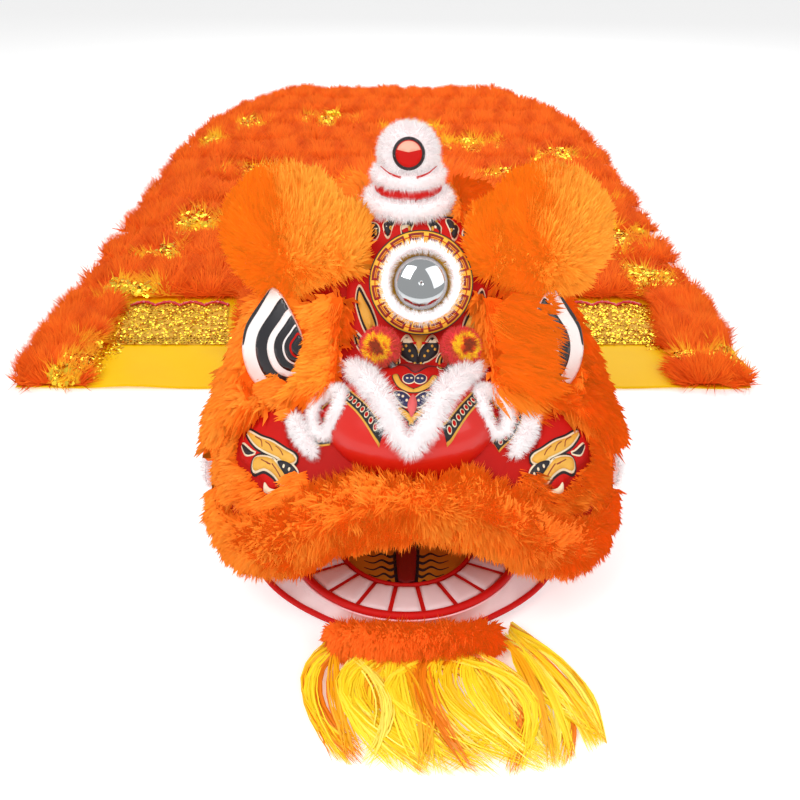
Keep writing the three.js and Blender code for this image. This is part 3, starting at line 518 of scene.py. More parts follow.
PLAIN = {"lock": 26, "sway": 0.11, "stray": 0.15, "lift": 0.7, "droop": 0.1, "pull": 0.16, "patch": 0.06, "width": 1.0,
         "faces": 2}
# Root, tip and second tip colours; the darker roots are partly the fur's own colour and partly painted shade deep in
# the fur.
ORANGE = {"root": shade(232, 92, 12), "tip": shade(255, 156, 58), "other": shade(255, 126, 32)}
# The fringe's roots are painted brighter than the face's, as painted light against the shade that the brow casts on it.
FRINGE = {"root": shade(250, 112, 22), "tip": shade(255, 156, 56), "other": shade(255, 132, 36)}
DEEP = {"root": shade(214, 70, 8), "tip": shade(252, 122, 34), "other": shade(240, 96, 20)}
BROW = {"root": shade(255, 134, 34), "tip": shade(255, 178, 70), "other": shade(255, 156, 50)}
RED = {"root": shade(230, 66, 14), "tip": shade(255, 118, 46), "other": shade(248, 94, 30)}
WHITE = {"root": shade(244, 226, 226), "tip": shade(255, 254, 253), "other": shade(252, 246, 246)}


def in_bounds(points):
    """Strands end above the floor and inside the sides of the cape."""
    points[..., 2] = np.maximum(points[..., 2], CLEAR["floor"] * MM)
    middle, reach = START[0] + CAPE["x"] * MM, CLEAR["side"] * MM
    points[..., 0] = np.clip(points[..., 0], middle - reach, middle + reach)
    return points


def hairs(places, normals, flow, coat, rng, tint=None, spare=None):
    """Strands as points, triangles, tints and normals; those that reach where spare says are left out."""
    run = flow(local(places), normals)
    run = run - normals * (run * normals).sum(1, keepdims=True)
    points, corners, tints, facing = strands(places, normals, run, coat, rng)
    if spare is not None:
        stay = ~(spare(local(points[:, -1])) | spare(local(points[:, -2])) | spare(local(points[:, 0])))
        points, tints, facing = points[stay], tints[stay], facing[stay]
    each = points.shape[1]
    triangles = (np.arange(len(points))[:, None, None] * each + corners).reshape(-1, 3)
    points, tints = in_bounds(points).reshape(-1, 3), tints.reshape(-1, 4)
    if tint is not None:
        tints = tint(local(points), tints)
    return points, triangles, tints, facing.reshape(-1, 3)


def fur_piece(node, core, count, flow, coat, material, body, slot, seed, tint=None, keep=None, spare=None):
    """A core with its strands as one piece that stands for the node."""
    rng = np.random.default_rng(seed)
    places, normals = scattered(core, count, rng, keep)
    points, triangles, tints, facing = hairs(places, normals, flow, coat, rng, tint, spare)
    # The core is painted at 0.85 of the root colour: painted shade deep in the fur.
    core_tint = np.tile([*np.array(coat["root"]) * 0.85, 1], (len(core[0]), 1))
    if tint is not None:
        core_tint = tint(local(core[0]), core_tint)
    triangles = triangles + len(core[0])
    piece = new_mesh(node + "_hair", np.concatenate([core[0], points]), [core[1], triangles], [material],
                     tints=np.concatenate([core_tint, tints]), normals=np.concatenate([core[2], facing]))
    return settle(piece, body, slot, node)


def loose_fur(name, places, normals, flow, coat, material, body, slot, seed, tint=None, spare=None):
    """Strands that stand straight on another piece."""
    rng = np.random.default_rng(seed)
    points, triangles, tints, facing = hairs(places, normals, flow, coat, rng, tint, spare)
    return settle(new_mesh(name, points, [triangles], [material], tints=tints, normals=facing), body, slot)


def away_from(pole):
    pole = unit(np.array(pole, float))
    return lambda places, normals: normals - pole


def steady(direction):
    direction = np.array(direction, float)
    return lambda places, normals: np.broadcast_to(direction, normals.shape)


LIP = np.array([[0, 222], [55, 218], [105, 200], [165, 160], [212, 130], [243, 146], [246, 190]])


def lip_run(places, normals):
    middle = np.interp(np.abs(places[:, 0]), LIP[:, 0], LIP[:, 1])
    rise = np.clip((places[:, 2] - middle) / 40, -1, 1)
    return np.stack([np.sign(places[:, 0]) * 0.1, -0.2 - 0 * rise, rise * 0.7 - 0.15], 1)


def lip_tint(points, tints):
    red = np.clip((points[:, :1] - 60) / 160, 0, 1) * 0.75
    tints = tints.copy()
    tints[:, :3] = mix(tints[:, :3], tints[:, :3] * [1.02, 0.62, 0.9], red)
    return tints


LEAF = [[6, 72], [24, 44], [42, 8], [42, -24], [26, -54], [0, -66], [-28, -58], [-46, -28], [-44, 8], [-20, 48]]


def eye_frame(side):
    turn = Matrix.Rotation(math.radians(side * EYE["yaw"]), 4, "Z") @ Matrix.Rotation(math.radians(-EYE["pitch"]), 4, "X")
    return np.array(Matrix.Translation((side * EYE["x"], EYE["y"], EYE["z"])) @ turn)


def eye_skin(side):
    turn = eye_frame(side)

    def lifted(places, lift):
        away = np.clip(np.hypot(places[:, 0] / 46, places[:, 1] / 72), 0, 1)
        out = 5 + 7 * np.cos(away * math.pi / 2) ** 1.2 + lift
        rows = np.stack([places[:, 0], -out, places[:, 1]], 1)
        return rows @ turn[:3, :3].T + turn[:3, 3]
    return lifted


LEAF_LINE = smooth_line(LEAF, 8)


def leaf_zone(side, share, shift_in, shift_down):
    """The eye's outline, smaller and moved in towards the nose, held inside the eye."""
    line = smooth_line(LEAF, 8) * share + [-shift_in, -shift_down]
    nearest = np.linalg.norm(line[:, None] - LEAF_LINE, axis=-1).argmin(1)
    held = inside(LEAF_LINE, line, 0.6)
    line = np.where(held[:, None], line, LEAF_LINE[nearest] * 0.985)
    keep = np.linalg.norm(line - np.roll(line, 1, 0), axis=1) > 0.25
    return line[keep] * [side, 1]


def before_eye(side, share, inner, top):
    """Which places stand in front of the part of the eye that stays bare."""
    turn = eye_frame(side)

    def stands(places):
        rows = (places - turn[:3, 3]) @ turn[:3, :3]
        plan = rows[:, [0, 2]] * [side, 1]
        close = (rows[:, 1] < -2) & (rows[:, 1] > -90) & (plan[:, 0] > inner) & (plan[:, 1] < top)
        found = np.zeros(len(places), bool)
        if close.any():
            found[close] = inside(LEAF_LINE * share, plan[close], 0)
        return found
    return stands


def before_corner(name):
    """Which places hide the white fur at a corner of the mouth from someone in front of the head."""
    low, high = (local(corner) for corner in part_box(f"mouth_corner_{name}"))
    middle, half = (low + high) / 2, (high - low) / 2

    def stands(places):
        away = places - middle
        beside = away[:, 0] / (half[0] + 4)
        over = (away[:, 2] * 0.85 + away[:, 1] * 0.52) / (half[2] * 0.85 + 4)
        near = away[:, 2] * 0.52 - away[:, 1] * 0.85
        return (beside**2 + over**2 < 1) & (near > -4) & (near < 90)
    return stands


CORNER_ZONES = [before_corner(name) for _, name in SIDES]


def hides_corner(places):
    return CORNER_ZONES[0](places) | CORNER_ZONES[1](places)


BARE_EYE = {-1: before_eye(-1, 1.02, -43, 80), 1: before_eye(1, 0.98, 12, 40)}
CLEAR = {"floor": 0.6, "side": 772}


def brow_tint(side):
    """Brows are paler and yellower outside and on top, and deeper at the middle of their front."""
    def shaded(points, tints):
        away = (points - [BROW_X + side * 148, 185, 452]) / [80, 100, 66]
        near = np.clip(1.25 - np.linalg.norm(away, axis=1, keepdims=True), 0, 1)
        low = np.clip((474 - points[:, 2:3]) / 90, 0, 1) * np.clip((250 - points[:, 1:2]) / 60, 0, 1)
        tints = tints.copy()
        tints[:, :3] *= mix(np.array([1.0, 1.0, 1.0]), np.array([1.0, 0.7, 0.5]), np.maximum(near**1.3 * 0.7, low))
        return tints
    return shaded


def face_tint(points, tints):
    """Face fur is deeper close to the eyes and the nose."""
    inner = np.clip((190 - np.abs(points[:, :1])) / 110, 0, 1)
    tints = tints.copy()
    tints[:, :3] *= mix(np.array([1.0, 1.0, 1.0]), np.array([1.0, 0.9, 0.86]), inner)
    return tints


LONG = {**PLAIN, **ORANGE, "length": 44}
fur_piece("lip_fur", node_core("lip_fur", 10, 17, 6), 41000, lip_run, {**LONG, "width": 1.35, "length": 27},
          orange_fur, "head", "orange_fur", 11, lip_tint, spare=hides_corner)
for side, name in SIDES:
    brow = node_core(f"brow_{name}", 8, 20, 8)
    fur_piece(f"brow_{name}", brow, 33000, away_from((side * -0.1, -0.5, -0.86)),
              {**PLAIN, **BROW, "length": 34, "width": 1.1, "lift": 0.8, "stray": 0.2}, brow_fur, "head", "brow_fur", 20 + side, brow_tint(side),
              spare=BARE_EYE[side])
    face = node_core(f"face_fur_{name}", 8, 9, 5)
    fur_piece(f"face_fur_{name}", face, 31000, steady((side * 0.35, -0.35, -0.8)),
              {**LONG, "length": 32, "lift": 0.6, "width": 1.25}, orange_fur, "head", "orange_fur", 30 + side, face_tint,
              keep=lambda places, normals: places[:, 2] > 20,
              spare=lambda places, side=side: BARE_EYE[side](places) | hides_corner(places))
    fringe_core = node_core(f"face_fur_{name}", 12, 7, 3)
    rng = np.random.default_rng(35 + side)
    reach = 1.0 if side > 0 else 0.25
    places, normals = scattered(fringe_core, 5000, rng, lambda places, normals, side=side: (
        (np.abs(side * places[:, 0] - 132) < 26) & (np.abs(places[:, 2] - 376) < 58) & (normals[:, 1] < 0.2)).astype(float) + 1e-9)
    # The fringe takes the brow fur's stronger glow: painted light against the brow's shadow on it.
    loose_fur(f"eye_fringe_{name}", places, normals, steady((side * 0.9, -0.3, -0.5)),
              {**PLAIN, **FRINGE, "length": 26 + 30 * reach, "width": 1.1, "lift": 0.8, "stray": 0.12}, brow_fur, "head",
              "orange_fur", 36 + side, face_tint, BARE_EYE[side])
    corner = node_core(f"mouth_corner_{name}", 4, 4, 3)
    fur_piece(f"mouth_corner_{name}", corner, 4000, steady((0, 0, 0)),
              {**PLAIN, **WHITE, "length": 11, "width": 0.9, "faces": 1}, white_fur, "head", "white_fur", 40 + side)
fur_piece("mane_fur", node_core("mane_fur", 13, 9, 4), 11000, steady((0, 1, -0.3)),
          {**PLAIN, **DEEP, "length": 52, "width": 3.6, "faces": 1}, orange_fur, "head", "orange_fur", 51)
fur_piece("chin_fur", node_core("chin_fur", 7, 8, 4), 13000, steady((0, -0.5, -0.6)),
          {**PLAIN, **RED, "length": 23, "width": 1.2, "lift": 0.65, "sway": 0.08}, orange_fur, "jaw", "orange_fur", 52)

WHITE_COATS = (
    # node, voxel, inset, length, strands
    ("nose_fur_v", 4, 0, 14, 14000),
    ("nostril_fur_left", 3, 1.6, 8.5, 6500),
    ("nostril_fur_right", 3, 1.6, 8.5, 6500),
    ("cheek_fur_strip_left", 4, 0.5, 12, 4200),
    ("cheek_fur_strip_right", 4, 0.5, 12, 4200),
    ("mirror_fur_ring", 3, 4, 9, 12500),
    ("horn_collar_fur", 5, 2, 11, 9000),
    ("horn_tier_fur", 4, 1.5, 10, 8000),
    ("horn_cap_fur", 5, 3, 11, 12000),
)
for k, (node, voxel, inset, length, count) in enumerate(WHITE_COATS):
    lean = (0, 0.3, 0.7) if node == "mirror_fur_ring" else (0, -0.1, -0.25)
    fur_piece(node, node_core(node, voxel, inset, 3), count, steady(lean),
              {**PLAIN, **WHITE, "length": length, "width": 0.85, "lift": 1.0, "lock": 10, "faces": 1, "sway": 0.12},
              white_fur, "head", "white_fur", 60 + k)


# Cape
def discs(places, normals, radius, rng):
    """Small six-sided sequins, each with a tilt of its own."""
    count = len(places)
    normals = unit(normals + rng.normal(0, 0.28, (count, 3)))
    beside = unit(np.cross(normals, rng.normal(0, 1, (count, 3))))
    over = np.cross(normals, beside)
    turn = np.linspace(0, 2 * math.pi, 7)[:-1]
    ring = beside[:, None] * np.cos(turn)[None, :, None] + over[:, None] * np.sin(turn)[None, :, None]
    points = places[:, None] + ring * radius * rng.uniform(0.8, 1.15, (count, 1, 1))
    start = np.arange(count)[:, None, None] * 6
    faces = (start + np.array([[0, 1, 2], [0, 2, 3], [0, 3, 5], [3, 4, 5]])).reshape(-1, 3)
    return points.reshape(-1, 3), faces


def arch_height(y):
    share = np.clip((y - CAPE["neck"]) / (CAPE["arch_end"] - CAPE["neck"]), 0, 1)
    return CAPE["arch_top"] * (0.5 * (1 + np.cos(math.pi * share))) ** 1.2


def cape_half(y):
    over = np.maximum(y - (CAPE["back"] - CAPE["corner"]), 0) / CAPE["corner"]
    return CAPE["half"] * (0.48 + 0.52 * np.sqrt(np.maximum(1 - over**1.6, 0)))


def smoothstep(x, low, high):
    t = np.clip((x - low) / (high - low), 0, 1)
    return t * t * (3 - 2 * t)


def cape_place(side, y, lift=0.0):
    """A point on the cape: side runs from -1 to 1 across it."""
    side, y, lift = (np.asarray(v, float) for v in (side, y, lift))
    soft = np.clip((y - CAPE["neck"]) / 300, 0, 1)
    half = mix(CAPE["arch_half"], 330, soft)
    edge, away = cape_half(y), np.abs(side)
    share = CAPE["share"]
    laid = smoothstep(y, CAPE["neck"] + 300, CAPE["arch_end"])
    square = mix(2.3, 1.3, soft)
    turn = math.pi / 2 * (1 - np.minimum(away / share, 1))
    out = np.where(away < share, half * np.cos(turn) ** (2 / square), mix(half, edge, (away - share) / (1 - share)))
    high = np.where(away < share, arch_height(y) * np.sin(turn) ** (2 / square), 0)
    slide = smoothstep(y, CAPE["neck"], CAPE["neck"] + 400)
    beside = np.clip((away - share) / 0.25, 0, 1)
    middle = CAPE["x"] * np.minimum(away / share, 1) * mix(slide, 1, beside)
    return np.stack(np.broadcast_arrays(middle + np.sign(side) * mix(out, away * edge, laid), y, high + lift), -1)


LOBE = {"wide": 118, "pitch": 215, "start": 1076}


def lobe_place(places):
    """How far a place lies from the middle of its lobe of fur, from -0.5 to 0.5."""
    row = np.floor((places[:, 1] - LOBE["start"]) / LOBE["pitch"])
    phase = places[:, 0] / LOBE["wide"] + 0.5 * (row % 2) + 0.1 * np.sin(places[:, 1] * 0.02 + row) + 0.07 * np.sin(row * 5)
    return (phase + 0.5) % 1 - 0.5


def cape_row(places, normals):
    """The fur spreads from the middle of each lobe and towards the tail."""
    return np.stack([lobe_place(places) * 2.2, 0.75 + 0 * places[:, 1], -0.1 + 0 * places[:, 2]], 1)


def upper(places, normals):
    return np.where(normals[:, 2] > -0.25, 1.0, 0.05) * (1 - np.clip(gold_share(places) * 1.3, 0, 0.96))


GOLD_PATCHES = np.array([
    # across, along, half width, half length
    [-582, 1565, 70, 60], [-660, 1113, 60, 44], [-692, 2385, 50, 60], [-189, 1884, 70, 60], [233, 2345, 110, 60],
    [563, 1462, 70, 60], [584, 1190, 60, 40], [145, 1694, 60, 60], [-594, 2629, 60, 70], [535, 2218, 80, 50],
    [-291, 2706, 90, 60], [-629, 1337, 50, 34], [560, 1786, 60, 40], [-330, 1480, 60, 36], [330, 1990, 90, 40],
    [-480, 2060, 90, 50], [40, 2560, 120, 50], [420, 1640, 60, 40], [-606, 985, 42, 36], [-626, 905, 42, 36],
    [-644, 825, 42, 36], [-662, 750, 40, 34], [596, 780, 54, 28], [664, 780, 50, 28],
])


def gold_share(places):
    """One in the middle of a gold patch and nothing outside it."""
    away = (places[:, None, :2] - GOLD_PATCHES[None, :, :2] + [0, 30]) / GOLD_PATCHES[None, :, 2:] / [1.1, 1.7]
    wave = 0.25 * np.sin(places[:, 0] * 0.06) + 0.2 * np.sin(places[:, 1] * 0.08 + places[:, 0] * 0.03)
    return np.clip(1.4 - np.hypot(away[..., 0], away[..., 1]).min(1) + wave, 0, 1)


def cape_tint(points, tints):
    """The cape's fur lies on gold cloth; painted shade darkens it low down near the cloth and in the creases between
    the lobes, and elsewhere it is painted a little lighter.
    """
    shared = gold_share(points)[:, None]
    base = points[:, 2:3] - cape_floor(points)[:, None]
    crease_shade = np.clip((np.abs(lobe_place(points))[:, None] - 0.3) / 0.2, 0, 1) * 0.85
    # Painted shade: darker near the cloth and in the creases between lobes; where unshaded the fur is painted a little
    # lighter.
    low = np.maximum(np.clip(1 - base / 22, 0, 1) * 0.7, crease_shade)
    tints = tints.copy()
    tints[:, :3] *= mix(np.array([1.03, 1.06, 1.1]), np.array([0.78, 0.5, 0.4]), low)
    bare = (shared > 0.4) & (base < 30)
    tints[:, :3] = np.where(bare, np.array(shade(244, 200, 40)), tints[:, :3])
    return tints


def cape_floor(points):
    """How high the cape's cloth lies under a place, near enough."""
    rise = arch_height(points[:, 1])
    half = mix(CAPE["arch_half"], 330, np.clip((points[:, 1] - CAPE["neck"]) / 300, 0, 1))
    return rise * np.sqrt(np.clip(1 - (points[:, 0] / half) ** 2, 0, 1))


CAPE_COAT = {**PLAIN, **DEEP, "length": 50, "width": 4.5, "lift": 0.5, "lock": 34, "sway": 0.2, "stray": 0.17, "droop": 0.1,
             "pull": 0.12, "faces": 1}
patch_sequins = []


def cape_piece(node, voxel, count, coat, seed, reach=(0, 0)):
    """A piece of the cape's fur, with sequins where the gold cloth shows; it reaches over the gaps before and behind."""
    points, triangles, normals = node_core(node, voxel, 6, 2)
    old = local(points)
    ends = old[:, 1].min(), old[:, 1].max()
    wide = old + [0, 0, 0]
    wide[:, 1] += mix(-reach[0], reach[1], (old[:, 1] - ends[0]) / (ends[1] - ends[0]))
    wide[:, 0] += 0.022 * (old[:, 0] - CAPE["x"]) * (np.abs(old[:, 0] - CAPE["x"]) > 420)
    wide[:, 2] = np.maximum(old[:, 2] + cape_floor(wide) - cape_floor(old), np.minimum(old[:, 2], 2))
    core = placed(wide), triangles, normals
    rng = np.random.default_rng(300 + seed)
    spots, facing = scattered(core, 620, rng, lambda places, normals: gold_share(places) * (normals[:, 2] > 0.1) + 1e-9)
    shown = gold_share(local(spots)) > 0.45
    if shown.any():
        patch_sequins.append(discs(local(spots)[shown] + facing[shown] * 2, facing[shown], 5.6, rng))
    fur_piece(node, core, count, cape_row, {**CAPE_COAT, **coat}, cape_fur, "head", "orange_fur", 80 + seed, cape_tint,
              keep=upper)


for row in range(1, 11):
    cape_piece(f"cape_fur_row_{row:02d}", 13, 14500, {"width": 3.2 + 0.2 * row}, row,
               (16 if row == 1 else 30, 54))
cape_piece("cape_neck_fur_front", 12, 10000, {"width": 3.2, "length": 46}, 15, (30, 60))
cape_piece("cape_neck_fur_back", 12, 10000, {"width": 3.2, "length": 46}, 16, (30, 60))
cape_piece("cape_side_fur_left", 12, 8000, {"width": 3.2, "length": 46}, 17, (0, 24))
cape_piece("cape_side_fur_right", 12, 8000, {"width": 3.2, "length": 46}, 18, (0, 24))


def sheet_between(upper_points, lower_points):
    """Points and squares of a closed sheet between two grids of points."""
    rows, columns = upper_points.shape[:2]
    ring = np.concatenate([upper_points, lower_points[:, ::-1]], 1)
    points = ring.reshape(-1, 3)
    squares = ring_squares(rows, 2 * columns, False, True)
    ends = []
    for row, flip in ((0, True), (rows - 1, False)):
        base = row * 2 * columns
        for k in range(columns - 1):
            square = [base + k, base + k + 1, base + 2 * columns - 2 - k, base + 2 * columns - 1 - k]
            ends.append(square[::-1] if flip else square)
    return points, np.concatenate([squares, np.array(ends)])


across = np.linspace(-1, 1, 65)
front = np.where(np.abs(across) <= 0.5, CAPE["neck"], mix(CAPE["neck"] + 8, 664, np.clip((np.abs(across) - 0.5) * 8, 0, 1)))
lengths = np.linspace(0, 1, 90) ** 1.3
grid_side = np.broadcast_to(across[:, None], (65, 90))
grid_y = mix(front[:, None], CAPE["back"], lengths[None])
bare = np.clip((846 - grid_y) / 60, 0, 1) * np.clip((np.abs(grid_side) - 0.5) / 0.05, 0, 1)
folds = 2.2 * np.sin(grid_side * 31 + grid_y * 0.01) + 1.6 * np.sin(grid_side * 13 - grid_y * 0.021 + 1) + 2.4
top = cape_place(grid_side, grid_y, 3.0) + np.stack([0 * folds, 0 * folds, folds * bare], -1)
under = top - np.array([0, 0, 1.6])
cloth_points, cloth_squares = sheet_between(top, under)
cape = new_mesh("cape_satin", placed(cloth_points), [cloth_squares], [satin])
settle(cape, "head", "cape_satin", "cape_cloth")

points, faces = joined(patch_sequins)
settle(new_mesh("patch_sequins", placed(points), faces, [sequin_gold], smooth=False), "head", "sequin_band")

# Mirror
tilt = math.radians(MIRROR["tilt"])
FACING = np.array([0, -math.cos(tilt), math.sin(tilt)])
ACROSS = np.array([1.0, 0, 0])
dome = [(0.01, -3)] + [(MIRROR["glass"] * math.sin(t), 14 * math.cos(t) - 3) for t in np.linspace(1.57, 0.02, 14)]
glass_points, glass_squares = lathe(MIRROR["centre"], FACING, ACROSS, dome, 64)
settle(new_mesh("mirror_dome", placed(glass_points), [glass_squares], [mirror_glass]), "head", "mirror_face", "mirror_disc")
rim_profile = [(67, -14), (67, 0), (65.5, 2.6), (62, 3.4), (50, 4), (49, 2), (49, -9), (30, -9), (30, -24), (24, -24), (24, -14)]
rim_points, rim_squares = lathe(MIRROR["centre"], FACING, ACROSS, rim_profile, 96)
settle(new_mesh("mirror_rim_gold", placed(rim_points), [rim_squares], [gold_trim]), "head", "gold_rim", "mirror_rim")

# Horn
UP = np.array([0.0, 0, 1])
for name, node, profile, material in (
    ("horn_stem", "horn_core", [(0.01, 480), (36, 480), (34, 494), (26, 530), (21, 559), (0.01, 559)], red_band),
    ("horn_red_band", "horn_band", [(28.6, 526.4), (42, 526.4), (44, 529), (44.6, 532), (44, 536), (42, 538), (28.6, 538)], red_band),
):
    points, squares = lathe((HORN["x"], HORN["y"], 0), UP, ACROSS, profile, 64)
    settle(new_mesh(name, placed(points), [squares], [material]), "head", "red_fabric", node)
ball_facing = unit(np.array([0, -0.96, 0.28]))
ball_at = np.array([HORN["x"], HORN["y"], HORN["ball_z"]])
oval = [(0.01, -6), (20, -6), (20.6, -2), (19, 1), (14, 3), (7, 4.2), (0.01, 4.6)]
points, squares = lathe(ball_at + ball_facing * (HORN["ball"] - 5), ball_facing, ACROSS, oval, 48)
settle(new_mesh("horn_oval", placed(points), [squares], [print_black]), "head", "red_fabric", "horn_inset")
OVAL_UP = np.cross(ACROSS, ball_facing) * -1


def oval_skin(places, lift):
    rise = np.interp(np.hypot(*places.T), (0, 7, 14, 19), (4.6, 4.2, 3, 1))
    middle = ball_at + ball_facing * (HORN["ball"] - 5)
    return middle + places[:, :1] * ACROSS + places[:, 1:] * OVAL_UP + ball_facing * (rise[:, None] + lift)


turns = np.linspace(0, 2 * math.pi, 41)[:-1]
oval_line = np.stack([16.6 * np.cos(turns), 16.6 * np.sin(turns)], 1)
laid("horn_oval_red", [oval_line], 0.5, print_red, "red_fabric", surface=oval_skin, step=4)
crown = np.concatenate([oval_line[2:19], [[-8, 3.4], [0, 1.6], [8, 3.4]]])
laid("horn_oval_peach", [crown * 0.93], 1.0, print_peach, "red_fabric", surface=oval_skin, step=4)
crease_lines = []
for side in (-1, 1):
    bow = [[side * 10, -0.2], [side * 24, 3.2], [side * 36, 9]]
    line = smooth_line([[HORN["x"] + x, HORN["y"] - math.sqrt(42.6**2 - x * x), 556 + z] for x, z in bow], 8, False)
    crease_lines.append(tube(line, np.linspace(1.5, 0.5, len(line)), 6))
points, faces = joined(crease_lines)
settle(new_mesh("horn_creases", placed(points), faces, [print_red]), "head", "red_fabric")

# Face prints
def leaning(across, y):
    """The prints follow a middle line that leans from the tip of the nose to the mirror."""
    return np.stack([across + np.interp(y, (24, 202), (-5, 10)), y], -1)


def both_sides(table, leans=True, per=5):
    """The smooth outline and its mirror image."""
    line = smooth_line(table, per)
    if leans:
        return [leaning(side * line[:, 0], line[:, 1]) for side in (-1, 1)]
    return [line * [side, 1] for side in (-1, 1)]


FOREHEAD = [[-62, 152], [62, 152], [92, 176], [90, 232], [64, 262], [62, 345], [-66, 345], [-68, 262], [-84, 232], [-86, 176]]
BRIDGE = [[-44, 92], [-4, 40], [36, 92], [58, 151], [-58, 151]]
CHEEK = [[152, 52], [176, 40], [206, 66], [226, 100], [206, 132], [184, 118], [164, 122], [160, 88]]
WING = [[-24, 168], [-25, 180], [-16, 185], [-6, 178], [0, 164], [0, 124], [-5, 154], [-14, 160]]
WING_DOTS = [[-21, 173], [-17, 177], [-12, 171], [-8, 165], [-4, 156]]
GOLD_VEE = [[-22, 189], [-13, 187], [-5, 181], [0, 168], [5, 181], [13, 187], [22, 189], [0, 194]]
HEART = [[0, 108], [-14, 130], [-24, 138], [-17, 148], [-6, 146], [0, 138], [6, 146], [17, 148], [24, 138], [14, 130]]
SIDE_FLAME = [[-80, 214], [-71, 207], [-63, 200], [-56, 191], [-62, 184], [-71, 189], [-79, 197], [-84, 206]]
SIDE_EYE = [[-71, 198], [-65, 199], [-59, 194], [-60, 189], [-66, 188], [-71, 192]]
SIDE_TAIL = [[-86, 188], [-74, 184], [-62, 174], [-58, 158], [-64, 160], [-74, 170]]
SPRING_ARC = [[-34, 170], [-27, 166], [-24, 154], [-28, 130], [-34, 134], [-31, 156]]
TOP_TEARS = ([[-68, 258], [-58, 254], [-54, 244], [-60, 240], [-66, 246]],
             [[-47, 252], [-38, 260], [-33, 258], [-36, 248], [-42, 240], [-47, 244]],
             [[-25, 246], [-17, 255], [-10, 257], [-10, 248], [-17, 240], [-23, 240]])
TOP_FLAME = [[-62, 300], [-50, 284], [-36, 290], [-24, 272], [-8, 284], [-10, 270], [-28, 262], [-52, 268], [-66, 280]]
BLOB_HIGH = [[-13, 99], [-6, 103], [-1, 97], [-1, 88], [-7, 85], [-13, 90]]
ARC_HIGH = [[-27, 100], [-22, 103], [-16, 88], [-7, 79], [0, 75], [0, 71], [-9, 73], [-20, 82]]
BLOB_LOW = [[-23, 72], [-13, 72], [-4, 65], [-1, 57], [-7, 54], [-15, 59]]
ARC_LOW = [[-19, 56], [-11, 52], [-3, 47], [2, 42], [2, 38], [-6, 43], [-15, 49]]
HEART_LOW = [[0, 68], [5, 60], [5, 52], [0, 44], [-5, 52], [-5, 60]]
TONGUE_HIGH = [[212, 108], [194, 92], [178, 81], [162, 68], [146, 56], [156, 54], [172, 63], [189, 76], [202, 90]]
TONGUE_LOW = [[200, 72], [187, 68], [174, 60], [164, 51], [151, 43], [154, 38], [165, 42], [174, 50], [186, 57], [200, 60]]
TEAR = [[169, 58], [156, 55], [145, 47], [144, 41], [151, 40], [160, 47]]
CRESCENT = [[186, 48], [179, 42], [165, 36], [171, 35], [181, 39], [187, 43]]
CHEEK_FLICK = [[219, 100], [206, 84], [200, 78], [212, 84]]

laid("forehead_print", [grown(smooth_line(FOREHEAD, 3), -0.5)], 1.7, print_red, "printed_shell", "forehead_panel", deep=1.5)
laid("bridge_print", [np.array(BRIDGE, float)], 1.7, print_red, "printed_shell", "nose_bridge_panel", deep=1.5)
for side, name in SIDES:
    ground = smooth_line(CHEEK, 4) * [side, 1]
    laid(f"cheek_print_{name}", [ground], 1.7, print_red, "printed_shell", f"cheek_panel_{name}", deep=1.5)

forehead_forms = [WING, SIDE_EYE, SIDE_FLAME, SIDE_TAIL, SPRING_ARC, *TOP_TEARS]
edged = [line for form in forehead_forms for line in both_sides(form)]
laid("print_white_edges", [grown(line, 1.5) for line in edged], 2.0, print_cream, "printed_shell", deep=1.0)
laid("print_black_forms", edged, 2.3, print_black, "printed_shell", deep=1.0)
gold_forms = [grown(line, -2.2) for form in (SIDE_FLAME, SIDE_TAIL, SPRING_ARC) for line in both_sides(form)]
gold_forms += [grown(line, -2.6) for line in both_sides(SIDE_EYE)]
laid("print_gold_fills", gold_forms, 2.6, print_gold, "printed_shell", deep=0.9, step=4)
laid("print_gold_vee", [leaning(*smooth_line(GOLD_VEE).T)], 2.0, print_gold, "printed_shell")
dots = [leaning(side * x, y) for x, y in WING_DOTS for side in (-1, 1)]
dots += [leaning(side * (x + shift), y - 2 * shift) for x, y in ((-60, 247), (-41, 249), (-17, 248))
         for shift in (-3, 2) for side in (-1, 1)]
laid("print_gold_dots", ovals(dots, 1.7, 10), 2.7, print_gold, "printed_shell", deep=0.7)
laid("print_heart_edge", [grown(leaning(*smooth_line(HEART).T), 1.6)], 2.0, print_black, "printed_shell")
laid("print_heart", [leaning(*smooth_line(HEART).T)], 2.4, print_deep, "printed_shell")
laid("print_top_flames", [line for line in both_sides(TOP_FLAME)], 2.0, print_black, "printed_shell")
laid("print_top_gold", [grown(line, -3) for line in both_sides(TOP_FLAME)], 2.3, print_gold, "printed_shell", step=4)

bridge_forms = [line for form in (BLOB_HIGH, BLOB_LOW) for line in both_sides(form)]
laid("bridge_edges", [grown(line, 1.3) for line in bridge_forms], 2.0, print_cream, "printed_shell", deep=1.0)
laid("bridge_navy", bridge_forms, 2.3, print_navy, "printed_shell", deep=1.0)
bridge_arcs = [line for form in (ARC_HIGH, ARC_LOW) for line in both_sides(form)]
laid("bridge_arc_edges", [grown(line, 1.2) for line in bridge_arcs], 2.1, print_black, "printed_shell", step=4)
laid("bridge_arcs", bridge_arcs, 2.5, print_gold, "printed_shell", step=4)
laid("bridge_heart", [leaning(*smooth_line(HEART_LOW).T)], 2.8, print_pink, "printed_shell", deep=1.2, step=4)
dots = [leaning(side * x, y) for x, y in ((-9, 94), (-4, 94), (-17, 68), (-12, 66), (-7, 61)) for side in (-1, 1)]
laid("bridge_dots", ovals(dots, 1.6, 10), 2.7, print_cream, "printed_shell", deep=0.7)

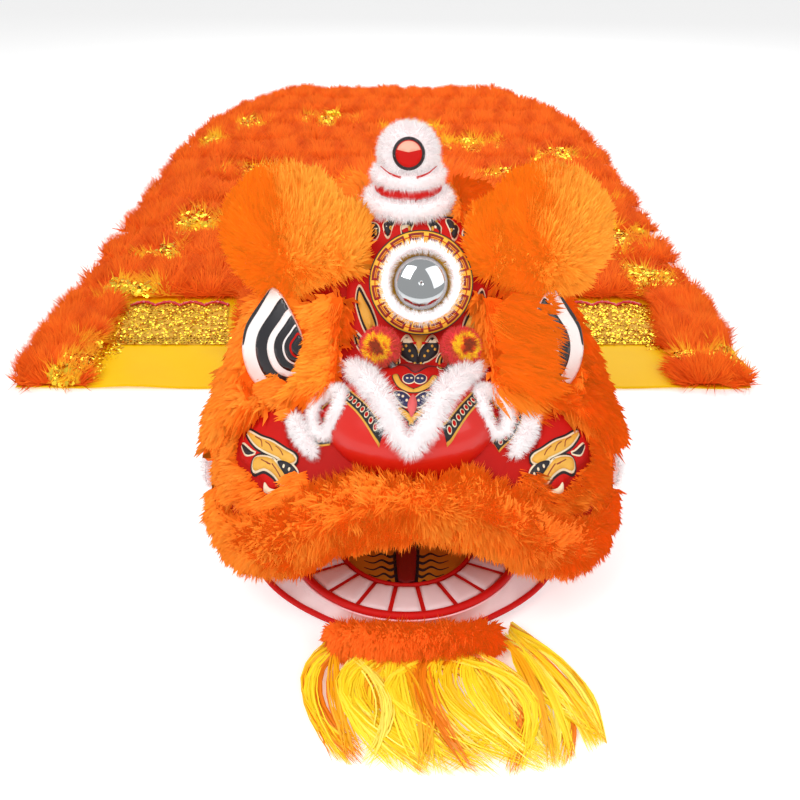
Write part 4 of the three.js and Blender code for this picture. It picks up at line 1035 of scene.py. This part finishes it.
tongues = [line for form in (TONGUE_HIGH, TONGUE_LOW) for line in both_sides(form, False)]
cheek_dark = [line for form in (TEAR, CHEEK_FLICK) for line in both_sides(form, False)]
laid("cheek_black_edges", [grown(line, 3.4) for line in tongues], 1.95, print_black, "printed_shell", deep=1.0)
laid("cheek_white_edges", [grown(line, 1.5) for line in tongues + cheek_dark], 2.2, print_cream, "printed_shell", deep=1.0)
laid("cheek_tongues", [grown(line, -0.2) for line in tongues], 3.0, print_gold, "printed_shell", deep=1.6, step=4)
laid("cheek_tears", cheek_dark, 3.1, print_black, "printed_shell", deep=1.0, step=4)
laid("cheek_crescents", both_sides(CRESCENT, False), 2.2, print_cream, "printed_shell", step=4)
dots = [np.array([side * x, y]) for x, y in ((161, 53), (154, 49.5), (149, 45)) for side in (-1, 1)]
laid("cheek_dots", ovals(dots, 1.5, 10), 3.5, print_cream, "printed_shell", deep=0.7)
veins = [ribbon([[side * x, y] for x, y in row], 0.8, 3) for side in (-1, 1) for row in (
    ((200, 96), (192, 88), (190, 80)), ((186, 84), (180, 78), (176, 70)), ((172, 74), (166, 68), (162, 61)),
    ((190, 66), (184, 61), (178, 58)), ((176, 58), (170, 52), (165, 46)))]
laid("cheek_veins", veins, 3.4, print_deep, "printed_shell", deep=0.7)

# Orange fur on the bare shell between the cheek prints and the face fur
def bare_shell(places):
    """Where the shell shows in plan: no print, no nose, no white curl."""
    side = np.abs(places[:, 0])
    plan = np.stack([side, places[:, 1]], 1)
    free = ~inside(grown(smooth_line(CHEEK, 4), 3), plan, 0) & (side > 118)
    for x, y, rx, ry in ((104, 94, 34, 38), (140, 78, 22, 34)):
        free &= ((side - x) / rx) ** 2 + ((plan[:, 1] - y) / ry) ** 2 > 1
    return free & (side > 150 + (plan[:, 1] - 110) * 0.3)


rng = np.random.default_rng(47)
tries = np.stack([rng.uniform(-258, 258, 60000), rng.uniform(12, 168, 60000)], 1)
tries = tries[np.abs(tries[:, 0]) < 0.985 * np.interp(tries[:, 1], STATIONS[:, 0], STATIONS[:, 1])]
tries = tries[bare_shell(tries)]
seats = face_skin(tries, 0.5)
stands = unit(face_skin(tries, 1.5) - seats)
weight = 1 / np.clip(stands[:, 2], 0.15, 1)
picks = rng.choice(len(tries), 11000, p=weight / weight.sum())


def cheek_run(places, normals):
    return np.stack([np.sign(places[:, 0]) * 0.8, 0 * places[:, 1] - 0.2, 0 * places[:, 2] - 0.3], 1)


loose_fur("cheek_nap", placed(seats[picks]), stands[picks], cheek_run, {**PLAIN, **ORANGE, "length": 24, "width": 1.1, "lift": 0.5},
          orange_fur, "head", "orange_fur", 48, face_tint)

for node, cover in (("head_shell", lining), ("jaw_pin_left", wire), ("jaw_pin_right", wire)):
    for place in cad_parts[node].material_slots:
        place.material = cover

# Nose
turns = np.linspace(0, 2 * math.pi, 73)[:-1]
shares = np.sin(np.linspace(0, math.pi / 2, 24))
(nose_x, nose_y, nose_z), (nose_rx, nose_ry, nose_rz) = NOSE["centre"], NOSE["radii"]
plan_x = nose_x + nose_rx * shares[:, None] * np.cos(turns)
plan_y = nose_y + nose_ry * shares[:, None] * np.sin(turns)
swell = nose_rz * np.sqrt(1 - shares[:, None] ** 2) + 0 * plan_x
upper_nose = np.stack([plan_x, plan_y, nose_z + swell], -1)
under_z = np.minimum(np.maximum(nose_z - swell, head_height(plan_x, plan_y) - 2), nose_z + swell - 0.01)
lower_nose = np.stack([plan_x, plan_y, under_z], -1)
nose_grid = np.concatenate([upper_nose, lower_nose[-2::-1]])
nose_squares = ring_squares(len(nose_grid), 72, False, True)
nose = new_mesh("nose_lacquered", placed(nose_grid.reshape(-1, 3)), [nose_squares[:, ::-1]], [lacquer])
settle(nose, "head", "nose_lacquer", "nose_body")

TRIMS = ([[-92, 116], [-80, 88], [-62, 62], [-47, 43], [-38, 35]], [[86, 116], [74, 86], [56, 58], [43, 42], [36, 37]],
         [[-140, 86], [-128, 74], [-116, 70], [-104, 70]], [[134, 112], [130, 94], [120, 78], [109, 68], [102, 62]])
laid("trim_gold_lines", [ribbon(path, 13) for path in TRIMS], 0.7, print_gold, "printed_shell", step=5, deep=1.6)
laid("trim_black_bands", [ribbon(path, 9.4) for path in TRIMS], 1.2, print_black, "printed_shell", step=5, deep=1.2)
beads = np.concatenate([spaced(path, 8.5, 3) for path in TRIMS])
laid("trim_white_rings", ovals(beads, 3.0, 14), 1.7, print_cream, "printed_shell")
laid("trim_red_dots", ovals(beads, 2.1, 12), 2.1, print_red, "printed_shell")
CURL = {"x": 104, "y": 94, "long": 1.25}
curl_places = [(NOSE["centre"][0] + side * CURL["x"], CURL["y"]) for side in (-1, 1)]
laid("curl_red", ovals(curl_places, 15, 24, CURL["long"]), 1.0, print_red, "printed_shell", deep=2.5)
swirls = [ribbon([(x + side * a, y + b) for a, b in ((8, 10), (0, 15), (-8, 8), (-6, -4), (3, -6), (5, 1))], 3.2)
          for (x, y), side in zip(curl_places, (-1, 1))]
laid("curl_swirls", swirls, 1.6, print_black, "printed_shell", deep=1.0)
laid("curl_gold", [grown(line, -0.9) for line in swirls], 2.0, print_gold, "printed_shell", deep=0.8)

# Eyes
for side, name in SIDES:
    surface = eye_skin(side)
    laid(f"eye_white_{name}", [leaf_zone(side, 0.995, 0, 0)], 0, eye_white, "eye_panel", f"eye_{name}",
         surface=surface, step=4, deep=5)
    wedge = [[9, 69], [25, 44], [40, 16], [43, -8], [40.5, -8], [36, 14], [22, 40]]
    laid(f"eye_wedge_{name}", [smooth_line(wedge, 5) * [side, 1]], 0.5, eye_black, "eye_panel", surface=surface, step=4)
    for zone, (share, shift_in, down, lift, material) in enumerate((
        (0.82, 15, -1, 0.5, eye_black), (0.64, 25, -1, 1.0, eye_white), (0.53, 30, -2, 1.5, eye_black),
        (0.38, 35, -2, 1.9, eye_white), (0.345, 36, -2, 2.2, eye_black), (0.24, 38, -2, 2.5, print_red), (0.2, 39, -2, 2.8, eye_black),
    )):
        laid(f"eye_zone_{zone}_{name}", [leaf_zone(side, share, shift_in, down)], lift, material, "eye_panel",
             surface=surface, step=4)

# Key pattern round the mirror
FACE_UP = np.array([0, math.sin(tilt), math.cos(tilt)])


def mirror_skin(places, lift):
    middle = np.array(MIRROR["centre"])
    rise = np.interp(np.hypot(*places.T), (50, 62, 65.5), (4, 3.4, 2.6))
    return middle + places[:, :1] * ACROSS + places[:, 1:] * FACE_UP + FACING * (rise[:, None] + lift)


def bent(turn, rows):
    """A shape of angle in degrees and radius, bent round the mirror."""
    rows = np.array(rows, float)
    angle = np.radians(turn + rows[:, 0])
    return np.stack([rows[:, 1] * np.cos(angle), rows[:, 1] * np.sin(angle)], 1)


KEY = [[-9, 52], [-9, 63.6], [9, 63.6], [9, 54.6], [-4, 54.6], [-4, 57.4], [6, 57.4], [6, 60.6], [-6.5, 60.6], [-6.5, 52]]
keys = [bent(turn, np.concatenate([np.linspace(a, b, 5)[:-1] for a, b in zip(KEY, KEY[1:] + KEY[:1])]))
        for turn in np.arange(0, 360, 24)]
laid("mirror_keys", keys, 0.5, print_deep, "gold_rim", surface=mirror_skin, step=30, deep=0.8)
for name, low, high, material in (("mirror_outer_line", 65.6, 66.9, print_black), ("mirror_inner_line", 58.6, 59.6, print_red)):
    profile = [(low, 0.5), (low, 4.3 if low < 60 else 3.2), (high, 4.2 if low < 60 else 2.6), (high, 0.5)]
    points, squares = lathe(MIRROR["centre"], FACING, ACROSS, profile[::-1], 96)
    settle(new_mesh(name, placed(points), [squares], [material]), "head", "gold_rim")

# Pompoms on their springs
RAGGED = np.random.default_rng(7)
for side, name in SIDES:
    at = np.array([POMPOM["x"] + side * POMPOM["spread"], POMPOM["y"], POMPOM["z"]])
    look = unit(np.array([side * 0.32 + 0.1, -0.86, 0.46 if side < 0 else 0.6]))

    def wool_tint(points, tints, at=at, look=look):
        away = unit(points - at)
        turn = np.degrees(np.arccos(np.clip(away @ look, -1, 1)))
        turn = turn + 5 * np.sin(away[:, 0] * 17 + away[:, 2] * 11) + 4 * np.sin(away[:, 1] * 23 - away[:, 2] * 19)
        zones = np.array([shade(130, 2, 4), shade(236, 70, 6), shade(255, 214, 14), shade(255, 130, 30), shade(236, 60, 70),
                          shade(226, 20, 66)])
        pick = np.digitize(turn, (20, 27, 45, 51, 56))
        tints = tints.copy()
        tints[:, :3] = zones[pick] * mix(1.0, 1.4, (tints[:, :1] - 0.6) / 0.4)
        return tints

    core = node_core(f"pompom_{name}", 3, 2.5, 3)
    # The grey tones only set brightness: darker roots, partly painted shade deep in the wool.
    grey = {"root": (0.62, 0.62, 0.62), "tip": (1, 1, 1), "other": (0.9, 0.9, 0.9)}
    fur_piece(f"pompom_{name}", core, 11000, steady((0, 0, 0)), {**PLAIN, **grey, "length": 8, "width": 1.25, "lift": 1.2, "lock": 6, "faces": 1},
              wool, "head", "pompom_wool", 120 + side, wool_tint)
    foot_x = POMPOM["x"] + side * 34
    foot = np.array([foot_x, 128, float(face_height(np.array([foot_x]), np.array([128.0]))[0]) + 1])
    axis = unit(at - foot)
    reach = np.linalg.norm(at - foot) - POMPOM["r"] + 8
    beside = unit(np.cross(axis, [0, 1, 0]))
    over = np.cross(axis, beside)
    turn = np.linspace(0, 2 * math.pi * 8, 8 * 14)
    coil = foot + np.outer(turn / turn[-1] * reach, axis) + 4.6 * (np.outer(np.cos(turn), beside) + np.outer(np.sin(turn), over))
    points, squares = tube(coil, 0.75, 6)
    settle(new_mesh(f"spring_coil_{name}", placed(points), [squares], [wire]), "head", "spring_wire", f"pompom_spring_{name}")

# Lower jaw
TRAY = {"x": -8, "y": 160, "r": 166, "flare": 54, "low": 18, "top": 50, "back": 262}
THROAT = {"x": -8, "y": 152, "r": 96}


def tray_edge(flare, inset=0.0):
    """The jaw's outline, round in front and straight behind."""
    round_part = np.linspace(math.pi, 2 * math.pi, 61)
    side = np.cos(round_part)
    out = TRAY["r"] - inset + flare * (0.1 + 0.9 * side**2)
    deep = TRAY["r"] - inset + flare * 0.1
    front = np.stack([TRAY["x"] + out * side, TRAY["y"] + deep * np.sin(round_part)], 1)
    half = TRAY["r"] - inset + flare * 0.55
    back = TRAY["back"] - inset
    across_back = np.stack([np.linspace(TRAY["x"] + half, TRAY["x"] - half, 40), np.full(40, back)], 1)
    right = front[-1] + (across_back[0] - front[-1]) * np.linspace(0, 1, 12)[1:-1, None]
    left = across_back[-1] + (front[0] - across_back[-1]) * np.linspace(0, 1, 12)[1:-1, None]
    return np.concatenate([front, right, across_back, left])


def tray_reach(flare, turns, inset=0.0):
    """How far the jaw's outline lies from the middle of the throat at each turn."""
    rows = tray_edge(flare, inset) - [THROAT["x"], THROAT["y"]]
    angle = np.arctan2(rows[:, 1], rows[:, 0])
    order = np.argsort(angle)
    return np.interp(turns, angle[order], np.hypot(*rows[order].T), period=2 * math.pi)


turns = np.linspace(-math.pi, math.pi, 241)[:-1]
top_reach, low_reach = tray_reach(0, turns), tray_reach(TRAY["flare"], turns)
rows = [(0 * turns + 0.01, 44), (0 * turns + 60, 44), (0 * turns + 95.6, 44), (0 * turns + 96.4, 50)]
rows += [(mix(97, top_reach, 0.5), 50), (top_reach - 1.2, 50), (top_reach, 48.8)]
for share in (0.2, 0.45, 0.7, 0.9, 1.0):
    pucker = 1.6 * np.sin(turns * 23 + 4 * share) * math.sin(math.pi * share) - 3 * math.sin(math.pi * share)
    rows.append((mix(top_reach, low_reach, share) + pucker, mix(48.8, TRAY["low"], share)))
rows += [(low_reach - 4, TRAY["low"]), (top_reach - 6, 44.5), (0 * turns + 0.01, 41.5)]
jaw_points = np.stack([np.stack([THROAT["x"] + r * np.cos(turns), THROAT["y"] + r * np.sin(turns), 0 * r + z], -1)
                       for r, z in rows], 1)
jaw_cloth_piece = new_mesh("jaw_cloth_tray", placed(jaw_points.reshape(-1, 3)),
                           [ring_squares(240, len(rows), True, True)[:, ::-1]], [jaw_cloth])
settle(jaw_cloth_piece, "jaw", "jaw_fabric", "jaw_tray")


def flat_skin(height):
    return lambda places, lift: np.stack([places[:, 0], places[:, 1], np.full(len(places), height + lift)], 1)


def arc(middle, radius, low, high, count):
    """Points along an arc; turns in degrees."""
    turn = np.radians(np.linspace(low, high, count))
    return np.stack([middle["x"] + radius * np.cos(turn), middle["y"] + radius * np.sin(turn)], 1)


TOOTH = {"count": 9, "spread": 150, "inner": 101.5, "outer": 157.5, "gap": 1.15, "puff": 4.2}
ground = np.concatenate([arc(THROAT, 98, -172, -8, 40), arc(TRAY, 163, -8, -172, 60)])
laid("gum_red", [ground], 0.9, red_band, "red_fabric", surface=flat_skin(50), body="jaw", step=14, deep=0.8)
pitch = TOOTH["spread"] / TOOTH["count"]
for k in range(TOOTH["count"]):
    low = -90 - TOOTH["spread"] / 2 + k * pitch
    inner = arc(THROAT, TOOTH["inner"], low + TOOTH["gap"] * 1.4, low + pitch - TOOTH["gap"] * 1.4, 7)
    outer = arc(TRAY, TOOTH["outer"], low + pitch - TOOTH["gap"], low + TOOTH["gap"], 7)
    outline = np.concatenate([inner, outer])
    middle = outline.mean(0)

    def tooth_skin(places, lift, outline=outline):
        ring = np.roll(outline, -1, 0) - outline
        share = np.clip(((places[:, None] - outline) * ring).sum(-1) / (ring**2).sum(-1), 0, 1)
        near = np.linalg.norm(outline + ring * share[..., None] - places[:, None], axis=-1).min(1)
        swell = TOOTH["puff"] * np.sqrt(1 - (1 - np.clip(near / 9, 0, 1)) ** 2) * (lift > 0)
        return np.stack([places[:, 0], places[:, 1], 50.6 + swell + max(lift, 0)], 1)

    nodes = ["teeth_row"] if k == 0 else []
    laid(f"tooth_{k + 1}", [outline], 0.8, jaw_cloth, "jaw_fabric", *nodes, surface=tooth_skin, body="jaw", step=3, deep=0.8)

for name, middle, radius, width, height, low, high, colour, nodes in (
    ("outer_gum_roll", TRAY, 164, 5.6, 52.4, -180, 0, red_band, ["jaw_rim"]),
    ("inner_gum_roll", THROAT, 97.2, 3.2, 51.2, -182, 2, red_band, []),
    ("pale_piping", TRAY, 170.2, 1.3, 49.6, -178, -2, print_blush, []),
):
    line = np.column_stack([arc(middle, radius, low, high, 90), np.full(90, height)])
    points, squares = tube(line, width, 10)
    settle(new_mesh(name, placed(points), [squares], [colour]), "jaw", "red_fabric", *nodes)
low_line = tray_edge(TRAY["flare"], 1.5)[:61]
points, squares = tube(np.column_stack([low_line, np.full(61, TRAY["low"] + 3.2)]), 4.2, 10)
settle(new_mesh("lower_piping", placed(points), [squares], [red_band]), "jaw", "red_fabric")

laid("throat_ochre", [arc(THROAT, 95, 0, 357, 96)], 0.6, ochre, "jaw_fabric", surface=flat_skin(44.1), body="jaw", step=12, deep=0.5)
flicks = []
for side in (-1, 1):
    for k in range(5):
        y = THROAT["y"] - 84 + 13 * k
        reach = (0.55, 0.85, 1, 1, 1)[k]
        path = [[THROAT["x"] + side * (12 + reach * x), y + 0.9 * k + rise] for x, rise in ((0, 4), (11, -4), (23, 3), (35, -3), (48, 2))]
        line = smooth_line(path, 5, False)
        width = np.linspace(3.6, 0.4, len(line))[:, None]
        flicks.append(np.concatenate([line + [0, 1] * width, (line - [0, 1] * width)[::-1]]))
laid("throat_black_flicks", flicks, 1.0, print_navy_black, "jaw_fabric", surface=flat_skin(44.1), body="jaw", step=8, deep=0.7)
TONGUE = [[-12, 76], [-8, 67], [0, 63], [8, 67], [12, 76], [15, 150], [11, 198], [-11, 198], [-15, 150]]


def tongue_skin(places, lift):
    swell = 3.6 * np.sqrt(np.clip(1 - ((places[:, 0] - THROAT["x"]) / 15.5) ** 2, 0, 1)) * (lift > 0)
    return np.stack([places[:, 0], places[:, 1], 44.6 + swell + max(lift, 0)], 1)


tongue_line = smooth_line(TONGUE, 6) + [THROAT["x"], 0]
laid("tongue_soft", [tongue_line], 0.8, print_deep, "red_fabric", "tongue", surface=tongue_skin, body="jaw", step=4, deep=0.8)
laid("tongue_edge", [grown(tongue_line, 4.5)], 0.8, print_navy_black, "jaw_fabric", surface=flat_skin(44.1), body="jaw", step=8, deep=0.7)

# Beard
BEARD_ROOT = smooth_line([[-112, -34, 17], [0, -50, 22], [112, -30, 22], [134, 4, 14]], 12, False)
BEARD_MIDDLE = smooth_line([[-140, -88, 10], [-20, -112, 13], [130, -96, 14], [205, -66, 9]], 12, False)
BEARD_TIP = smooth_line([[-100, -178, 2], [20, -196, 3], [150, -192, 3], [228, -152, 2.5]], 12, False)
BEARD_COLOURS = (shade(255, 226, 40), shade(252, 208, 24), shade(255, 238, 96), shade(244, 172, 18), shade(232, 120, 16))


def along_line(line, share):
    at = np.clip(share, 0, 1) * (len(line) - 1)
    return np.stack([np.interp(at, np.arange(len(line)), line[:, k]) for k in range(3)], -1)


def beard_blades(locks, each, seed):
    """Long flat shiny strands in locks that sweep to one side over the floor."""
    rng = np.random.default_rng(seed)
    root_share = np.sort(rng.random(locks)) * 1.02 - 0.01
    sweep = np.where(root_share < 0.12, rng.uniform(-0.02, 0.1, locks), rng.uniform(-0.02, 0.24, locks))
    bend = rng.normal(0, 0.11, locks)
    high = rng.uniform(0, 9, locks)
    tint = rng.choice(len(BEARD_COLOURS), locks, p=(0.34, 0.26, 0.14, 0.16, 0.10))
    lock = np.repeat(np.arange(locks), each)
    count = len(lock)
    loose = rng.normal(0, 1, (count, 3))
    near = along_line(BEARD_ROOT, root_share[lock] + loose[:, 0] * 0.008)
    mid_share = root_share[lock] + sweep[lock] * 0.5 + bend[lock] + loose[:, 1] * 0.014
    middle = along_line(BEARD_MIDDLE, mid_share)
    far_share = root_share[lock] + sweep[lock] + loose[:, 2] * 0.016
    far = along_line(BEARD_TIP, far_share)
    near[:, 1] += rng.uniform(0, 16, count)
    near[:, 2] += rng.uniform(0, 7, count)
    middle[:, 2] += high[lock] + rng.uniform(0, 4, count) - 4
    far[:, 1] += rng.uniform(-12, 26, count)
    far[:, 2] += rng.uniform(0, 3, count)
    steps = 9
    t = np.linspace(0, 1, steps)[:, None, None]
    path = near * (1 - t) * (1 - 2 * t) + middle * 4 * t * (1 - t) + far * t * (2 * t - 1)
    path = path.transpose(1, 0, 2)
    path[..., 2] = np.maximum(path[..., 2], 0.8)
    run = unit(np.gradient(path, axis=1))
    side = unit(np.cross(run, [0, 0, 1]) + np.array([0, 0, 1]) * rng.uniform(-0.7, 0.7, (count, 1, 1)))
    width = rng.uniform(0.7, 1.5, (count, 1, 1)) * np.interp(np.linspace(0, 1, steps), (0, 0.1, 0.8, 1), (0.7, 1, 0.9, 0.15))[None, :, None]
    points = np.stack([path - side * width, path + side * width], 2)
    points[..., 2] = np.maximum(points[..., 2], 0.6)
    start = np.arange(count)[:, None, None] * steps * 2
    squares = np.array([[2 * k, 2 * k + 1, 2 * k + 3, 2 * k + 2] for k in range(steps - 1)])
    colour = np.array(BEARD_COLOURS)[tint][lock] * rng.uniform(0.88, 1.08, (count, 1))
    fade = np.interp(np.linspace(0, 1, steps), (0, 0.18, 1), (0.72, 1, 1))
    tints = colour[:, None, None, :] * fade[None, :, None, None] + np.zeros((count, steps, 2, 1))
    tints = np.concatenate([np.clip(tints, 0, 1), np.ones((count, steps, 2, 1))], -1)
    return points.reshape(-1, 3), (start + squares).reshape(-1, 4), tints.reshape(-1, 4)


points, squares, tints = beard_blades(58, 28, 5)
settle(new_mesh("beard_strands", placed(points), [squares], [hair], tints=tints), "jaw", "beard_hair", "beard")

# Glittering bands and braid on the cape
BAND = {"front": 846, "back": 1046, "low": 0.535, "high": 0.83}
UP_NORMAL = np.array([0.0, 0.0, 1.0])
for side, name in SIDES:
    rng = np.random.default_rng(200 + side)
    across_band = np.linspace(BAND["low"], BAND["high"], 49)
    scallops = BAND["back"] - 12 + 18 * np.abs(np.sin(np.linspace(0, 4 * math.pi, 49)))
    share = np.linspace(0, 1, 14)
    band_y = mix(BAND["front"], scallops[:, None], share[None])
    wave = 0.9 * np.sin(band_y * 0.05 + across_band[:, None] * 60)
    band_top = cape_place(side * across_band[:, None], band_y, 5.2) + np.stack([0 * wave, 0 * wave, wave], -1)
    band_points, band_squares = sheet_between(band_top, band_top - [0, 0, 1.1])
    piece = new_mesh(f"gold_band_{name}", placed(band_points), [band_squares if side > 0 else band_squares[:, ::-1]], [gold_cloth])
    settle(piece, "head", "sequin_band", f"cape_front_band_{name}")
    spots = rng.random((2600, 2))
    spots = spots[(np.floor(spots[:, 1] * 13) % 2 == 0) | (rng.random(len(spots)) < 0.45)]
    sequin_side = mix(BAND["low"], BAND["high"], spots[:, 0])
    sequin_y = mix(BAND["front"], np.interp(sequin_side, across_band, scallops), spots[:, 1])
    places = cape_place(side * sequin_side, sequin_y, 6.6)
    points, faces = discs(places, np.broadcast_to(UP_NORMAL, places.shape), 2.6, rng)
    settle(new_mesh(f"band_sequins_{name}", placed(points), [faces], [sequin_gold], smooth=False), "head", "sequin_band")
    corner_share = rng.random((900, 2))
    corner_side = mix(0.775, 0.865, corner_share[:, 0]) + (1 - corner_share[:, 1]) * 0.05
    places = cape_place(side * corner_side, mix(690, 1046, corner_share[:, 1]), 5.0)
    points, faces = discs(places, np.broadcast_to(UP_NORMAL, places.shape), 2.8, rng)
    settle(new_mesh(f"corner_sequins_{name}", placed(points), [faces], [sequin_gold], smooth=False), "head", "sequin_band")
    braid_path = cape_place(side * across_band, scallops + 2, 8.0)
    points, squares = tube(braid_path, 3.4 + 0.9 * np.sin(np.arange(49) * 2.4), 8)
    settle(new_mesh(f"beaded_braid_{name}", placed(points), [squares], [bead_red]), "head", "sequin_band")
    dashes = []
    for row_y in (852, 862, 872):
        for place in np.linspace(BAND["low"] + 0.004, BAND["high"] - 0.01, 34):
            dash = cape_place(side * np.array([place, place + 0.004]), np.array([row_y, row_y]), 6.4)
            points, squares = tube(dash, 1.0, 5)
            dashes.append((points, squares))
    points, faces = joined(dashes)
    settle(new_mesh(f"band_dashes_{name}", placed(points), faces, [sequin_dark]), "head", "sequin_band")

# Stage
floor_points = np.array([[-9, -4, 0], [9, -4, 0], [9, 14, 0], [-9, 14, 0]], float) - [0, 0, 0.0006]
floor_paint = finish("floor_paint", (0.9, 0.9, 0.9), 0.8, specular=0.1)
floor_paint.node_tree.nodes["Principled BSDF"].inputs["Emission Color"].default_value = (1, 1, 1, 1)
floor_paint.node_tree.nodes["Principled BSDF"].inputs["Emission Strength"].default_value = 0.3
floor = new_mesh("floor", floor_points, [np.array([[0, 1, 2, 3]])], [floor_paint])
camera_data = bpy.data.cameras.new("camera")
camera_data.lens = 40
camera_data.sensor_width = 36
camera = bpy.data.objects.new("camera", camera_data)
camera.location = placed((-17, -850, 900))
camera.rotation_euler = (math.radians(58.6), 0, 0)
camera_data.clip_end = 60
bpy.context.scene.collection.objects.link(camera)
bpy.context.scene.camera = camera
world = bpy.data.worlds.new("studio")
world.use_nodes = True
world.node_tree.nodes["Background"].inputs["Color"].default_value = (1, 1, 1, 1)
world.node_tree.nodes["Background"].inputs["Strength"].default_value = 0.62
bpy.context.scene.world = world
for name, place, size, power in (
    ("key", (-1400, -1500, 2600), 1.6, 55),
    ("fill", (1700, -1300, 1900), 2.2, 26),
    ("back", (300, 3400, 2600), 2.6, 50),
):
    lamp = bpy.data.lights.new(name, "AREA")
    lamp.size = size
    lamp.energy = power
    light = bpy.data.objects.new(name, lamp)
    light.location = placed(place)
    aim = Vector(placed((0, 250, 200))) - light.location
    light.rotation_euler = aim.to_track_quat("-Z", "Y").to_euler()
    bpy.context.scene.collection.objects.link(light)
bpy.context.scene.view_settings.view_transform = "Standard"
